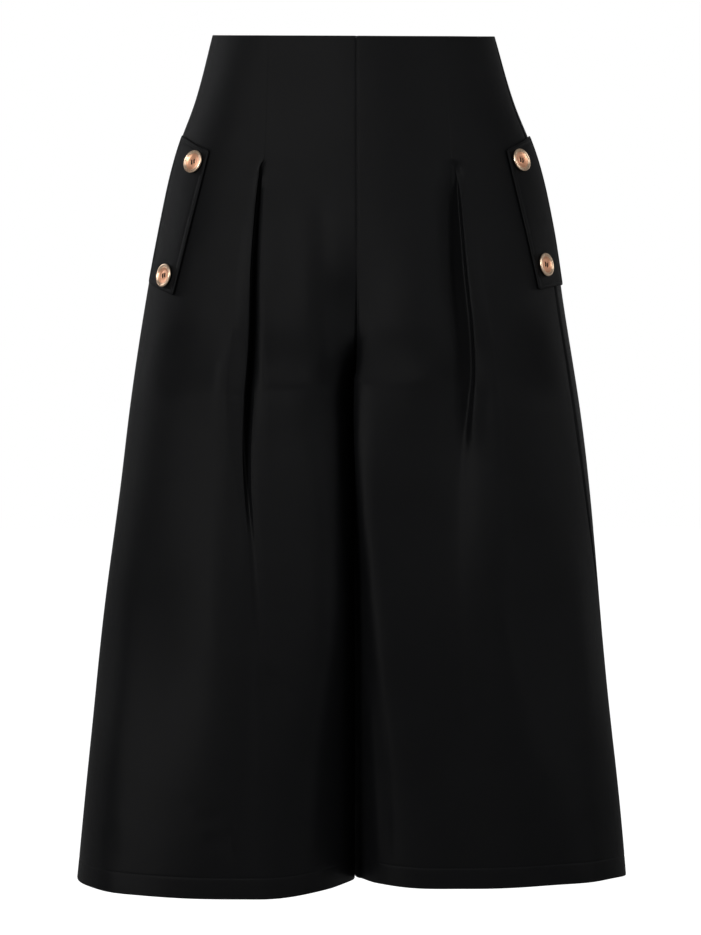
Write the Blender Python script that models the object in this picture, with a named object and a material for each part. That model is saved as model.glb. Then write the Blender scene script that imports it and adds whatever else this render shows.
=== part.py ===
"""High-waisted culottes, filled out as worn: four cloth panels, two buttoned hip tabs and a back zip.

The waist centre is the origin, the front faces -Y and the wearer's right is -X. Tables and
sizes are in millimetres; a drop is measured down the cloth from the level of the waist.
"""
import math

import bmesh
import bpy
import numpy as np
from mathutils import Matrix, Vector

# ---------------------------------------------------------------- driving dimensions, mm
CLOTH = 1.5             # thickness of one layer of the crepe with its turnings
HEM_CLOTH = 2.4         # thickness of the turned hem
SEAM_GAP = 0.3          # between two pieces that are sewn together
WAIST_DIP_FRONT = 0.157  # the waist edge dips by this share of its depth at the front
WAIST_RISE_BACK = 0.05
DIP_FADES = 200.0       # drop at which the dip of the waist has died out

LEG_BEGINS = 130.0      # side drops between which a row takes on the leg's section
LEG_FULL = 262.0
FORK_TOP = 235.0        # side drops between which the crotch seam turns under
FORK_FOOT = 340.0
CROTCH_DROP = 316.0     # lowest point of the crotch seam
HEM_SIDE = 759.7        # side seam length
HEM_DEPTH = 18.0
LEG_GAP = 0.35          # half the gap between the legs below the crotch
GAP_TURN = -0.06        # the gap turns this much towards the wearer's left per length to the back
INSEAM_BACK = 5.0       # the inseam lies this far behind the side seam

CORNER = 0.9            # how far a row runs round the leg towards the crotch seam
PULL_FADES = 10.0       # the seam draws the row's end to the centre within about this distance
LINE_SHARE = 0.55       # share of a row that lies outside the line where the leg is deepest

BUTTON_WIDTH = 21.0
TAB_WIDTH = 48.0
TAB_CLOTH = 2.6
TAB_GAP = 0.6           # the tab stands off the panels by this

ZIP_GAP = 1.0           # half the opening at the top of the centre-back seam, round the slider
ZIP_GAP_FOOT = 42.0
ZIP_LENGTH = 200.0
ZIP_TAPE = 0.8
TAPE_GAP = 0.8          # the tape stands off the curved panel by this
SLIDER_DROP = 12.0
PULL_LIFT = 1.3         # height of the pull's bar over the cloth

# ---------------------------------------------------------------- tables


def table(columns, *rows):
    """Numbers under named columns; every row starts with its drop."""
    names = columns.split()
    return {name: np.array([row[i] for row in rows], float) for i, name in enumerate(names)}


# Half widths to each side, depths to the front and the back, and squareness of a section
# (its superellipse power) of the whole form.
BODY = table(
    "drop right left front back square",
    (0, 128.0, 127.5, 82, 98, 2.15),
    (60, 143.8, 144.8, 83, 104, 2.15),
    (112, 162.5, 165.0, 86, 115, 2.2),
    (172, 176.0, 179.7, 94, 126, 2.3),
    (240, 188.0, 190.0, 101, 130, 2.45),
    (331, 201.5, 204.0, 108, 126, 2.6),
    (467, 219.0, 219.0, 112, 122, 2.6),
    (603, 235.0, 231.7, 114, 120, 2.6),
    (762, 250.6, 244.5, 116, 118, 2.6),
)
# Depths of one leg, how square its outer half is and its inner half in front and behind, and
# how far its inner side slants away from the centre there.
LEG = table(
    "drop front_right front_left back square_side square_right square_left square_back "
    "slant_right slant_left slant_back",
    (200, 101, 101, 127, 1.9, 6.5, 9.0, 6.0, 0.0, 0.0, 0.0),
    (280, 104, 104, 126, 1.9, 6.0, 13.0, 5.4, 0.02, 0.0, 0.01),
    (314, 106, 106, 126, 1.9, 5.6, 16.0, 5.0, 0.08, -0.025, 0.02),
    (336, 108, 107, 125, 1.9, 5.6, 16.0, 4.3, 0.115, -0.04, 0.03),
    (360, 109, 108, 124, 1.9, 5.8, 16.0, 3.8, 0.115, -0.04, 0.03),
    (430, 112, 109, 122, 1.9, 6.2, 15.0, 3.0, 0.1, -0.01, 0.03),
    (480, 112, 109, 121, 1.9, 6.2, 11.0, 2.9, 0.095, 0.015, 0.03),
    (530, 113, 108, 121, 1.9, 5.6, 8.0, 2.8, 0.1, 0.035, 0.03),
    (580, 114, 106, 120, 2.0, 4.4, 5.8, 2.8, 0.12, 0.045, 0.03),
    (640, 116, 104, 119, 2.2, 3.6, 4.6, 2.7, 0.145, 0.05, 0.03),
    (762, 118, 99, 118, 2.5, 2.9, 3.6, 2.6, 0.17, 0.075, 0.03),
)
# How much lower than the side seam the hem hangs, by the share of the way to the inseam.
HEM = table(
    "drop right left",
    (0.0, 0.0, 0.0),
    (0.2, 0.2, -3.8),
    (0.4, 3.2, -2.0),
    (0.58, 6.2, 0.8),
    (0.8, 2.4, -1.2),
    (0.93, 1.8, -1.0),
    (1.0, 3.6, 3.0),
)
# Where each leg stands furthest forward and back, as a share of the half width.
DEEPEST = {"front": 0.40, "back": 0.45}
# Angle of the side seam, in degrees forward of the side.
SIDE_SEAM = table(
    "drop right left",
    (0, -2, 8),
    (112, -3, 14),
    (210, -4, 22),
    (304, -4, 22),
    (375, -3, 21),
    (433, -3, 18),
    (473, -2, 14),
    (520, -2, 6),
    (620, 0, 1),
    (762, 0, 0),
)
# The knife pleat of a front panel: distance of its fold and of the ridge beside it from the
# centre, how far it laps over, how deep and wide its trough is, and the ridge's height with its
# half widths nearer and farther than its crest.
PLEAT = table(
    "drop fold_right fold_left ridge_right ridge_left lap_right lap_left depth_right depth_left "
    "width_right width_left height near far",
    (0, 77.3, 79.0, 90, 90, 0.0, 0.0, 0.0, 0.0, 12, 12, 0.2, 12, 12),
    (116, 84.5, 87.2, 94, 97, 0.0, 0.0, 0.6, 0.6, 14, 15, 0.3, 12, 15),
    (140, 88.6, 91.4, 97, 101, 3.4, 3.0, 5.0, 4.6, 18, 19, 0.8, 12, 20),
    (165, 91.8, 93.8, 101, 105, 6.0, 4.6, 8.0, 7.4, 23, 24, 1.4, 12, 24),
    (200, 95.5, 96.9, 106, 109, 8.0, 5.8, 10.0, 9.4, 27, 28, 2.2, 12, 30),
    (260, 97.9, 102.2, 115, 115, 9.4, 6.2, 11.0, 10.0, 30, 32, 3.2, 12, 38),
    (312, 100.5, 103.1, 121, 120, 9.4, 5.8, 11.0, 9.4, 32, 34, 3.8, 12, 44),
    (350, 101.7, 100.8, 123, 124, 8.4, 4.0, 9.6, 8.6, 33, 36, 4.0, 12, 46),
    (385, 100.6, 96.9, 125, 127, 5.0, 1.6, 7.4, 7.2, 35, 38, 4.0, 13, 46),
    (420, 98.2, 94.6, 127, 129, 2.0, 0.2, 4.6, 5.2, 38, 42, 4.0, 14, 46),
    (460, 94.8, 93.4, 129, 131, 0.4, 0.0, 2.2, 3.4, 42, 46, 4.0, 16, 46),
    (520, 92.0, 94.0, 131, 134, 0.0, 0.0, 0.8, 1.8, 48, 52, 4.0, 18, 44),
    (600, 91.0, 96.0, 138, 138, 0.0, 0.0, 0.0, 0.8, 54, 56, 3.8, 22, 42),
    (762, 92.0, 98.0, 148, 146, 0.0, 0.0, 0.0, 0.3, 60, 60, 3.0, 28, 40),
)
# Soft hanging folds: distance from the centre at their top and at the hem, the drop at which
# they start, and their height and half width.
SOFT_FOLDS = (
    # side, face, top, foot, start, height, spread
    ("right", "front", 196, 214, 380, 3.5, 16),
    ("left", "front", 190, 205, 420, 3.0, 16),
    ("right", "back", 66, 84, 300, 6.5, 24),
    ("right", "back", 150, 168, 380, 6.0, 22),
    ("left", "back", 72, 78, 330, 6.0, 22),
    ("left", "back", 146, 172, 340, 6.5, 24),
)
# Ends of a hip tab's front edge: distance from the centre, drop, and how much higher the
# tab's back edge sits there.
TABS = {
    "right": {"top": (128.5, 103.5, 12.0), "foot": (160.0, 234.0, 9.0)},
    "left": {"top": (133.0, 103.5, 12.0), "foot": (160.6, 233.0, 5.0)},
}
# Buttons: distance from the centre and drop.
BUTTONS = {
    "right": {"top": (141.5, 115.5), "bottom": (166.5, 218.0)},
    "left": {"top": (145.0, 115.0), "bottom": (166.0, 211.5)},
}
# Rows of a panel: the side drop each stretch runs down to, and how many rows it takes.
STRETCHES = (
    ("zip top", 18.0, 1),
    ("yoke", 116.0, 4),
    ("pleat", FORK_TOP, 5),
    ("fork", FORK_FOOT, 5),
    ("leg", HEM_SIDE - HEM_DEPTH - 1.0, 10),
    ("hem step", HEM_SIDE - HEM_DEPTH, 1),
    ("hem", HEM_SIDE, 1),
)
# Columns of the front: outside the pleat, across it, and inside it.
FRONT_COLUMNS = (7, 10, 7)
BACK_COLUMNS = 12
FINE = 241              # samples of a section before it is divided into columns

SIGN = {"right": -1.0, "left": 1.0}
TOWARDS = {"front": -1.0, "back": 1.0}
OTHER = {"front": "back", "back": "front"}
FORK_START = {"front": 274.0, "back": 226.0}   # centre drop at which the crotch seam turns under

MM = 0.001
BLACK_CREPE = ("black_crepe", (0.0075, 0.0078, 0.0095), 0.62, 0.0)
BLACK_TAPE = ("black_tape", (0.010, 0.010, 0.011), 0.75, 0.0)
ROSE_METAL = ("rose_gold", (0.78, 0.50, 0.40), 0.28, 1.0)
DARK_METAL = ("black_enamel", (0.012, 0.012, 0.013), 0.35, 0.6)


# ---------------------------------------------------------------- sums used everywhere


def at(rows, column, drop):
    """A smooth value of one column: a cubic through the rows, level beyond both ends."""
    knots, values = rows["drop"], rows[column]
    slopes = np.gradient(values, knots)
    drop = np.clip(drop, knots[0], knots[-1])
    i = np.clip(np.searchsorted(knots, drop, side="right") - 1, 0, len(knots) - 2)
    span = knots[i + 1] - knots[i]
    t = (drop - knots[i]) / span
    ease = t * t * (3 - 2 * t)
    bend = span * (t * (1 - t) ** 2 * slopes[i] - t * t * (1 - t) * slopes[i + 1])
    return values[i] * (1 - ease) + values[i + 1] * ease + bend


def smooth(t):
    t = np.clip(t, 0.0, 1.0)
    return t * t * (3 - 2 * t)


def bell(t):
    return np.exp(-t * t)


def raised(value, power):
    """A power that keeps the sign of its base."""
    return np.sign(value) * np.abs(value) ** power


def levels():
    """Side drops of a panel's rows, from the waist to the hem."""
    found = [0.0]
    for _, foot, count in STRETCHES:
        top = found[-1]
        found += [top + (foot - top) * (i + 1) / count for i in range(count)]
    return found


# ---------------------------------------------------------------- the filled-out form


def torso_xy(side, face, drop, angle):
    """A section round the hips; the angle runs from the side (0) to the middle of the face (90)."""
    power = 2 / at(BODY, "square", drop)
    depth = np.where(np.sin(angle) >= 0, at(BODY, face, drop), at(BODY, OTHER[face], drop))
    x = at(BODY, side, drop) * raised(np.cos(angle), power)
    return x, TOWARDS[face] * depth * raised(np.sin(angle), power)


def leg_size(size, side, face, drop):
    """The depth of a leg, or the squareness or slant of its inner half, on one face."""
    columns = {"depth": (f"front_{side}", "back"), "square": (f"square_{side}", "square_back"),
               "slant": (f"slant_{side}", "slant_back")}
    return at(LEG, columns[size][face == "back"], drop)


def leg_xy(side, face, drop, angle):
    """A section round one leg; the angle runs from the side (0) to the inseam (180)."""
    half = at(BODY, side, drop)
    ridge = DEEPEST[face] * half
    outer = np.cos(angle) >= 0
    power = np.where(outer, 2 / at(LEG, "square_side", drop),
                     2 / leg_size("square", side, face, drop))
    reach = np.where(outer, half - ridge, ridge - LEG_GAP)
    depth = np.where(np.sin(angle) >= 0, leg_size("depth", side, face, drop),
                     leg_size("depth", side, OTHER[face], drop))
    sideways = raised(np.cos(angle), power)
    y = TOWARDS[face] * depth * raised(np.sin(angle), power)
    slant = leg_size("slant", side, face, drop) * y * y / depth
    slant += SIGN[side] * GAP_TURN * y * bell(y / 40) * smooth((drop - CROTCH_DROP) / 60)
    x = ridge + reach * sideways + slant * np.clip(-sideways, 0, 1)
    return x, y + INSEAM_BACK * (1 - np.cos(angle)) / 2


def fork_turn(level):
    """Angle by which the crotch seam has turned under, on the row at this level."""
    t = min(max((level - FORK_TOP) / (FORK_FOOT - FORK_TOP), 0.0), 1.0)
    return (t + t * t - t ** 3) * math.pi / 2


def centre_drop(face, level):
    """Drop of the inner end of the row whose side seam is at this level."""
    start = FORK_START[face]
    if level < FORK_TOP:
        return level * start / FORK_TOP
    if level < FORK_FOOT:
        return start + (CROTCH_DROP - start) * math.sin(fork_turn(level))
    return CROTCH_DROP + (HEM_SIDE - CROTCH_DROP) * (level - FORK_FOOT) / (HEM_SIDE - FORK_FOOT)


def form_row(side, face, level):
    """Fine points of one row of the smooth form, from the inner end to the side seam."""
    u = np.linspace(1.0, 0.0, FINE)
    inner = centre_drop(face, level)
    drop = level + (inner - level) * smooth(u)
    drop += at(HEM, side, u) * smooth((level - FORK_FOOT) / (HEM_SIDE - FORK_FOOT))

    start = -TOWARDS[face] * np.radians(at(SIDE_SEAM, side, drop))
    deepest = np.arccos(DEEPEST[face] ** (at(BODY, "square", drop) / 2))
    outer = np.clip(u / LINE_SHARE, 0, 1)
    inward = np.clip((u - LINE_SHARE) / (1 - LINE_SHARE), 0, 1)
    torso_angle = start + (deepest - start) * outer + (np.pi / 2 - deepest) * inward
    square = float(leg_size("square", side, face, drop[0]))
    last_angle = math.pi - math.asin((CORNER * math.cos(fork_turn(level))) ** (square / 2))
    leg_angle = start + (np.pi / 2 - start) * outer + (last_angle - np.pi / 2) * inward

    share = smooth((level - LEG_BEGINS) / (LEG_FULL - LEG_BEGINS))
    torso_x, torso_y = torso_xy(side, face, drop, torso_angle)
    leg_x, leg_y = leg_xy(side, face, drop, leg_angle)
    x = torso_x * (1 - share) + leg_x * share
    y = torso_y * (1 - share) + leg_y * share
    x -= share * (leg_x[0] - LEG_GAP) * np.exp((x[0] - x) / PULL_FADES)
    dip = np.where(y < 0, WAIST_DIP_FRONT, WAIST_RISE_BACK) * (1 - smooth(drop / DIP_FADES))
    return np.stack([x, y, -drop + dip * y], axis=1)


def soft_lift(side, face, across, drop):
    """How far the soft hanging folds lift the cloth."""
    lift = np.zeros_like(across)
    for fold_side, fold_face, top, foot, start, height, spread in SOFT_FOLDS:
        if (fold_side, fold_face) == (side, face):
            down = (drop - start) / (HEM_SIDE - start)
            middle = top + (foot - top) * down
            lift += height * smooth(down * 2.5) * bell((across - middle) / spread)
    return lift


class Row:
    """One row of a panel, read by the distance along it from its inner end."""

    def __init__(self, side, face, level):
        self.side, self.face, self.level = side, face, level
        self.points = form_row(side, face, level)
        steps = np.linalg.norm(np.diff(self.points[:, :2], axis=0), axis=1)
        self.along = np.concatenate([[0.0], np.cumsum(steps)])
        self.length = self.along[-1]

    def distance_of(self, across):
        """Distance along the row of the point that lies this far from the centre plane."""
        return float(np.interp(across, self.points[:, 0], self.along))

    def pleat(self):
        """The pleat's sizes on this row, as a dictionary."""
        drop = self.level
        fold = self.distance_of(at(PLEAT, f"fold_{self.side}", drop))
        ridge = self.distance_of(at(PLEAT, f"ridge_{self.side}", drop))
        sizes = {name: max(0.0, float(at(PLEAT, f"{name}_{self.side}", drop)))
                 for name in ("lap", "depth", "width")}
        sizes.update({name: float(at(PLEAT, name, drop)) for name in ("height", "near", "far")})
        return {**sizes, "fold": fold, "ridge": ridge - fold}

    def place(self, distance, material=None):
        """Points at these distances; the material distance says where the cloth is lifted."""
        distance = np.atleast_1d(distance).astype(float)
        base = np.stack([np.interp(distance, self.along, self.points[:, i]) for i in range(3)], 1)
        step = 0.5
        ahead = [np.interp(distance + step, self.along, self.points[:, i]) for i in range(2)]
        behind = [np.interp(distance - step, self.along, self.points[:, i]) for i in range(2)]
        run = np.stack([ahead[0] - behind[0], ahead[1] - behind[1]], 1)
        run /= np.linalg.norm(run, axis=1)[:, None]
        out = np.stack([-run[:, 1], run[:, 0]], 1) * TOWARDS[self.face]
        lift = soft_lift(self.side, self.face, base[:, 0], -base[:, 2])
        if self.face == "front":
            pleat = self.pleat()
            if material is None:
                material = distance - pleat["fold"]
            trough = -0.35 * pleat["width"]
            spread = np.where(material < pleat["ridge"], pleat["near"], pleat["far"])
            lift += pleat["height"] * bell((material - pleat["ridge"]) / spread)
            lift -= pleat["depth"] * bell((material - trough) / (pleat["width"] * 0.45))
        base[:, :2] += out * lift[:, None]
        base[:, 0] *= SIGN[self.side]
        return base

    def front_columns(self):
        """The front's columns, from the inner end to the side seam, through the pleat's S."""
        pleat = self.pleat()
        inside, across, outside = FRONT_COLUMNS
        half = pleat["width"] / 2
        p = np.linspace(-1, 1, across + 1)
        folded = pleat["fold"] + half * p - pleat["lap"] * np.sin(np.pi * p)
        near = np.linspace(0, pleat["fold"] - half, inside, endpoint=False)
        far = np.linspace(self.length, pleat["fold"] + half, outside, endpoint=False)[::-1]
        distance = np.concatenate([near, folded, far])
        flat = np.concatenate([near, pleat["fold"] + half * p, far])
        return self.place(distance, flat - pleat["fold"])

    def back_columns(self):
        return self.place(np.linspace(0, self.length, BACK_COLUMNS + 1))


def point_on_skin(side, across, drop, inward=0.0):
    """A point of the outer surface near the side, this far along the cloth from |x| = across."""
    front = Row(side, "front", drop)
    distance = front.distance_of(across) + inward
    if distance <= front.length:
        return front.place(distance)[0]
    back = Row(side, "back", drop)
    return back.place(back.length - (distance - front.length))[0]


def skin_frame(side, across, drop, inward=0.0):
    """A point of the skin near the side with its outward normal and its downward tangent."""
    here = point_on_skin(side, across, drop, inward)
    below = point_on_skin(side, across, drop + 2.0, inward)
    beyond = point_on_skin(side, across, drop, inward + 2.0)
    normal = np.cross(beyond - here, below - here) * -SIGN[side]
    normal /= np.linalg.norm(normal)
    down = (below - here) / np.linalg.norm(below - here)
    return here, normal, down


# ---------------------------------------------------------------- making meshes


def material(name, colour, roughness, metallic):
    made = bpy.data.materials.new(name)
    made.use_nodes = True
    shader = made.node_tree.nodes["Principled BSDF"]
    shader.inputs["Base Color"].default_value = (*colour, 1.0)
    shader.inputs["Roughness"].default_value = roughness
    shader.inputs["Metallic"].default_value = metallic
    return made


def add_object(name, mesh, finish):
    made = bpy.data.objects.new(name, mesh)
    if not mesh.materials:
        mesh.materials.append(finish)
    bpy.context.scene.collection.objects.link(made)
    return made


def finish_mesh(shape, name, crease=40.0):
    """Close a bmesh into a smooth-shaded mesh whose faces point out."""
    bmesh.ops.recalc_face_normals(shape, faces=shape.faces)
    mesh = bpy.data.meshes.new(name)
    shape.to_mesh(mesh)
    shape.free()
    mesh.shade_smooth()
    mesh.set_sharp_from_angle(angle=math.radians(crease))
    return mesh


def wall(name, outer, inner, finish):
    """A closed sheet: a grid in its outer place, extruded to its inner place."""
    rows, columns = outer.shape[:2]
    shape = bmesh.new()
    number = shape.verts.layers.int.new("number")
    grid = bmesh.ops.create_grid(shape, x_segments=columns - 1, y_segments=rows - 1, size=1.0)
    outer_places = outer.reshape(-1, 3) * MM
    inner_places = inner.reshape(-1, 3) * MM
    for i, vert in enumerate(grid["verts"]):
        vert[number] = i
        vert.co = outer_places[i]
    made = bmesh.ops.extrude_face_region(shape, geom=shape.faces[:], use_keep_orig=True)
    for item in made["geom"]:
        if isinstance(item, bmesh.types.BMVert):
            item.co = inner_places[item[number]]
    return add_object(name, finish_mesh(shape, name), finish)


def evaluated_mesh(thing, name):
    """The mesh of an object with its modifiers, as a mesh of its own; the object goes."""
    graph = bpy.context.evaluated_depsgraph_get()
    mesh = bpy.data.meshes.new_from_object(thing.evaluated_get(graph))
    mesh.name = name
    bpy.data.objects.remove(thing)
    return mesh


def combine(body, cutter, operation):
    """Cut the second object from the first, or join them, into one mesh."""
    change = body.modifiers.new(operation.lower(), "BOOLEAN")
    change.operation = operation
    change.object = cutter
    mesh = evaluated_mesh(body, body.name)
    bpy.data.objects.remove(cutter)
    return mesh


# ---------------------------------------------------------------- the four panels


def grid_normals(points):
    """Normals of a grid of points, by its rows and columns."""
    along = np.gradient(points, axis=1)
    down = np.gradient(points, axis=0)
    normals = np.cross(along, down)
    return normals / np.linalg.norm(normals, axis=2)[:, :, None]


def half_gap(face, drop):
    """Half the gap at the centre seam: wide at the top of the back, round the zip's slider."""
    opened = 1 - smooth((drop - STRETCHES[0][1]) / (ZIP_GAP_FOOT - STRETCHES[0][1]))
    extra = (ZIP_GAP - SEAM_GAP / 2) * opened if face == "back" else 0.0
    return SEAM_GAP / 2 + extra


def draw_back(edge, neighbour, amount):
    """Move an edge's points towards the next column by an amount each."""
    run = neighbour - edge
    run /= np.linalg.norm(run, axis=1)[:, None]
    return edge + run * np.reshape(amount, (-1, 1))


def panel_surfaces():
    """Outer points and normals of the four panels, with normals shared along their seams."""
    rows = levels()
    points, normals = {}, {}
    for side in SIGN:
        for face in TOWARDS:
            made = [Row(side, face, level) for level in rows]
            grid = [row.front_columns() if face == "front" else row.back_columns() for row in made]
            points[side, face] = np.array(grid)
            turn = SIGN[side] * -TOWARDS[face]
            normals[side, face] = grid_normals(points[side, face]) * -turn

    legs = [i for i, level in enumerate(rows) if level >= FORK_FOOT]
    centre = [i for i, level in enumerate(rows) if level < FORK_FOOT]
    for side in SIGN:
        front, back = normals[side, "front"], normals[side, "back"]
        shared = front[:, -1] + back[:, -1]
        shared /= np.linalg.norm(shared, axis=1)[:, None]
        front[:, -1] = back[:, -1] = shared
        shared = front[legs, 0] + back[legs, 0]
        shared /= np.linalg.norm(shared, axis=1)[:, None]
        front[legs, 0] = back[legs, 0] = shared
        for normal in (front, back):
            for i in centre:
                towards_centre = -SIGN[side] * normal[i, 0, 0]
                if towards_centre < 0:
                    normal[i, 0, 0] = 0.0
                    normal[i, 0] /= np.linalg.norm(normal[i, 0])
    return rows, points, normals


def build_panels(finish):
    rows, points, normals = panel_surfaces()
    hem_from = HEM_SIDE - HEM_DEPTH - 0.5
    thickness = np.array([HEM_CLOTH if level > hem_from else CLOTH for level in rows])
    for (side, face), outer in points.items():
        gaps = [half_gap(face, level) if level < FORK_FOOT else SEAM_GAP / 2 for level in rows]
        normal = normals[side, face]
        outer = outer.copy()
        outer[:, 0] = draw_back(outer[:, 0], outer[:, 1], gaps)
        outer[:, -1] = draw_back(outer[:, -1], outer[:, -2], SEAM_GAP / 2)
        inner = outer - normal * thickness[:, None, None]
        wall(f"{face}_{side}", outer, inner, finish)


# ---------------------------------------------------------------- hip tabs and buttons


def tab_place(side, down, across):
    """A point of the skin under a tab: down its length and across it from the front edge."""
    top, foot = np.array(TABS[side]["top"]), np.array(TABS[side]["foot"])
    edge_x, edge_drop, rise = top + (foot - top) * down
    lifted = edge_drop - rise * across
    same_line = point_line(side, edge_x, edge_drop, lifted)
    return skin_frame(side, same_line, lifted, TAB_WIDTH * across)


def point_line(side, across, drop, other_drop):
    """The |x| at another drop that lies as far from the side as this point does at its own."""
    here = Row(side, "front", drop)
    there = Row(side, "front", other_drop)
    behind = here.length - here.distance_of(across)
    return float(np.interp(there.length - behind, there.along, there.points[:, 0]))


def build_tab(side, finish):
    downs = [0.0, 0.012, *np.linspace(0.1, 0.9, 9), 0.988, 1.0]
    acrosses = [0.0, 0.03, *np.linspace(0.2, 0.8, 4), 0.97, 1.0]
    outer, inner = [], []
    for down in downs:
        for across in acrosses:
            place, normal, _ = tab_place(side, down, across)
            border = down in (0.0, 1.0) or across in (0.0, 1.0)
            height = TAB_CLOTH * (0.62 if border else 1.0)
            inner.append(place + normal * TAB_GAP)
            outer.append(place + normal * (TAB_GAP + height))
    size = (len(downs), len(acrosses), 3)
    wall(f"hip_tab_{side}", np.reshape(outer, size), np.reshape(inner, size), finish)


def button_mesh():
    """A turned button with a raised rim, a dished middle and four sewing holes."""
    radius = BUTTON_WIDTH / 2
    profile = (
        # distance from the axis, height
        (0.0, 0.0), (radius - 1.6, 0.0), (radius - 0.3, 0.9), (radius, 1.8), (radius - 0.7, 2.9),
        (radius - 2.0, 2.9), (radius - 3.2, 1.9), (0.0, 1.6),
    )
    segments = 28
    shape = bmesh.new()
    verts = [shape.verts.new((x * MM, 0.0, z * MM)) for x, z in profile]
    edges = [shape.edges.new(pair) for pair in zip(verts, verts[1:])]
    bmesh.ops.spin(shape, geom=verts + edges, cent=(0, 0, 0), axis=(0, 0, 1),
                   angle=math.tau, steps=segments, use_merge=True)
    bmesh.ops.remove_doubles(shape, verts=shape.verts, dist=0.01 * MM)
    body = add_object("button_body", finish_mesh(shape, "button_body"), None)

    hole_radius, hole_pitch, hole_sides = 0.9, 1.55, 10
    holes = bmesh.new()
    for x in (-hole_pitch, hole_pitch):
        for y in (-hole_pitch, hole_pitch):
            place = Matrix.Translation((x * MM, y * MM, 1.0 * MM))
            bmesh.ops.create_cone(holes, cap_ends=True, segments=hole_sides, depth=6 * MM,
                                  radius1=hole_radius * MM, radius2=hole_radius * MM, matrix=place)
    cutter = add_object("button_holes", finish_mesh(holes, "button_holes"), None)
    return combine(body, cutter, "DIFFERENCE")


def build_buttons(side, mesh, finish):
    for name, (across, drop) in BUTTONS[side].items():
        place, normal, down = skin_frame(side, across, drop)
        seat = Vector(place + normal * (TAB_GAP + TAB_CLOTH + SEAM_GAP)) * MM
        z_axis = Vector(normal)
        x_axis = Vector(down).cross(z_axis).normalized()
        y_axis = z_axis.cross(x_axis)
        button = add_object(f"button_{side}_{name}", mesh, finish)
        turn = Matrix((x_axis, y_axis, z_axis)).transposed().to_4x4()
        button.matrix_world = Matrix.Translation(seat) @ turn


# ---------------------------------------------------------------- the centre-back zip


def back_point(x, drop):
    """A point of the outer back near the centre seam."""
    side = "right" if x < 0 else "left"
    return Row(side, "back", drop).place(abs(x))[0]


def build_tapes(finish):
    """The zip's two tapes, on the inside of the back panels."""
    count = 9
    drops = [3.0, *np.linspace(18.0, ZIP_LENGTH, count)]
    columns = (0.0, 6.0, 13.0)
    depth_in = CLOTH + TAPE_GAP
    for side, sign in SIGN.items():
        outer, inner = [], []
        for drop in drops:
            rows = [Row(side, "back", drop + step) for step in (-1.0, 0.0, 1.0)]
            edge = half_gap("back", drop)
            for column in columns:
                distance = column + edge
                here = rows[1].place(distance)[0]
                along = rows[1].place(distance + 1.0)[0] - here
                down = rows[2].place(distance)[0] - rows[0].place(distance)[0]
                normal = np.cross(along, down) * sign
                normal /= np.linalg.norm(normal)
                outer.append(here - normal * depth_in)
                inner.append(here - normal * (depth_in + ZIP_TAPE))
        size = (len(drops), len(columns), 3)
        wall(f"zip_tape_{side}", np.reshape(outer, size), np.reshape(inner, size), finish)


def zip_frame():
    """The hinge of the zip's pull: its place over the centre-back seam and the cloth's slope."""
    here = back_point(0.0, SLIDER_DROP)
    below = back_point(0.0, SLIDER_DROP + 18.0)
    down = (below - here) / np.linalg.norm(below - here)
    out = np.array([0.0, -down[2], down[1]])
    hinge = Vector(here + out * PULL_LIFT) * MM
    hinge.x = 0.0
    slope = math.atan2(down[1], -down[2])
    return Matrix.Translation(hinge) @ Matrix.Rotation(slope, 4, "X")


def box(shape, low, high):
    """Add a box between two corners, in millimetres, to a bmesh."""
    low, high = Vector(low) * MM, Vector(high) * MM
    size = Matrix.Diagonal((*(high - low), 1.0))
    bmesh.ops.create_cube(shape, size=1.0, matrix=Matrix.Translation((low + high) / 2) @ size)


def extrude_outline(outline, axis_low, axis_high, axis):
    """A prism over an outline given as points of the plane across one axis."""
    shape = bmesh.new()
    verts = []
    for a, b in outline:
        place = {"x": (axis_low, a, b), "y": (a, axis_low, b)}[axis]
        verts.append(shape.verts.new(Vector(place) * MM))
    face = shape.faces.new(verts)
    made = bmesh.ops.extrude_face_region(shape, geom=[face], use_keep_orig=True)
    step = Vector({"x": (1, 0, 0), "y": (0, 1, 0)}[axis]) * (axis_high - axis_low) * MM
    moved = [item for item in made["geom"] if isinstance(item, bmesh.types.BMVert)]
    bmesh.ops.translate(shape, verts=moved, vec=step)
    return shape


def build_slider(finish):
    """The slider: a body behind the tapes, a neck through the seam and a loop for the pull."""
    neck_half = 0.7
    back_of_tape = -(PULL_LIFT + CLOTH + TAPE_GAP + ZIP_TAPE + SEAM_GAP)
    body_depth, body_half, body_tall = 2.4, 3.5, 5.5
    loop_out, loop_tall, opening = 1.8, 2.1, 1.0
    strap = [(back_of_tape - 1.0, -loop_tall), (loop_out, -loop_tall),
             (loop_out, loop_tall), (back_of_tape - 1.0, loop_tall)]
    plate = extrude_outline(strap, -neck_half, neck_half, "x")
    neck = add_object("slider_neck", finish_mesh(plate, "slider_neck"), finish)
    window = bmesh.new()
    box(window, (-2.0, -opening, -opening), (2.0, opening, opening))
    cutter = add_object("slider_window", finish_mesh(window, "slider_window"), finish)
    loop = add_object("slider_loop", combine(neck, cutter, "DIFFERENCE"), finish)

    trunk = bmesh.new()
    box(trunk, (-body_half, back_of_tape - body_depth, -body_tall),
        (body_half, back_of_tape, body_tall))
    bmesh.ops.bevel(trunk, geom=trunk.edges[:], offset=0.5 * MM, offset_type="OFFSET", segments=1,
                    profile=0.5, affect="EDGES", material=-1)
    body = add_object("slider_body", finish_mesh(trunk, "slider_body"), finish)
    slider = add_object("zip_slider", combine(loop, body, "UNION"), finish)
    slider.matrix_world = zip_frame()


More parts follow.
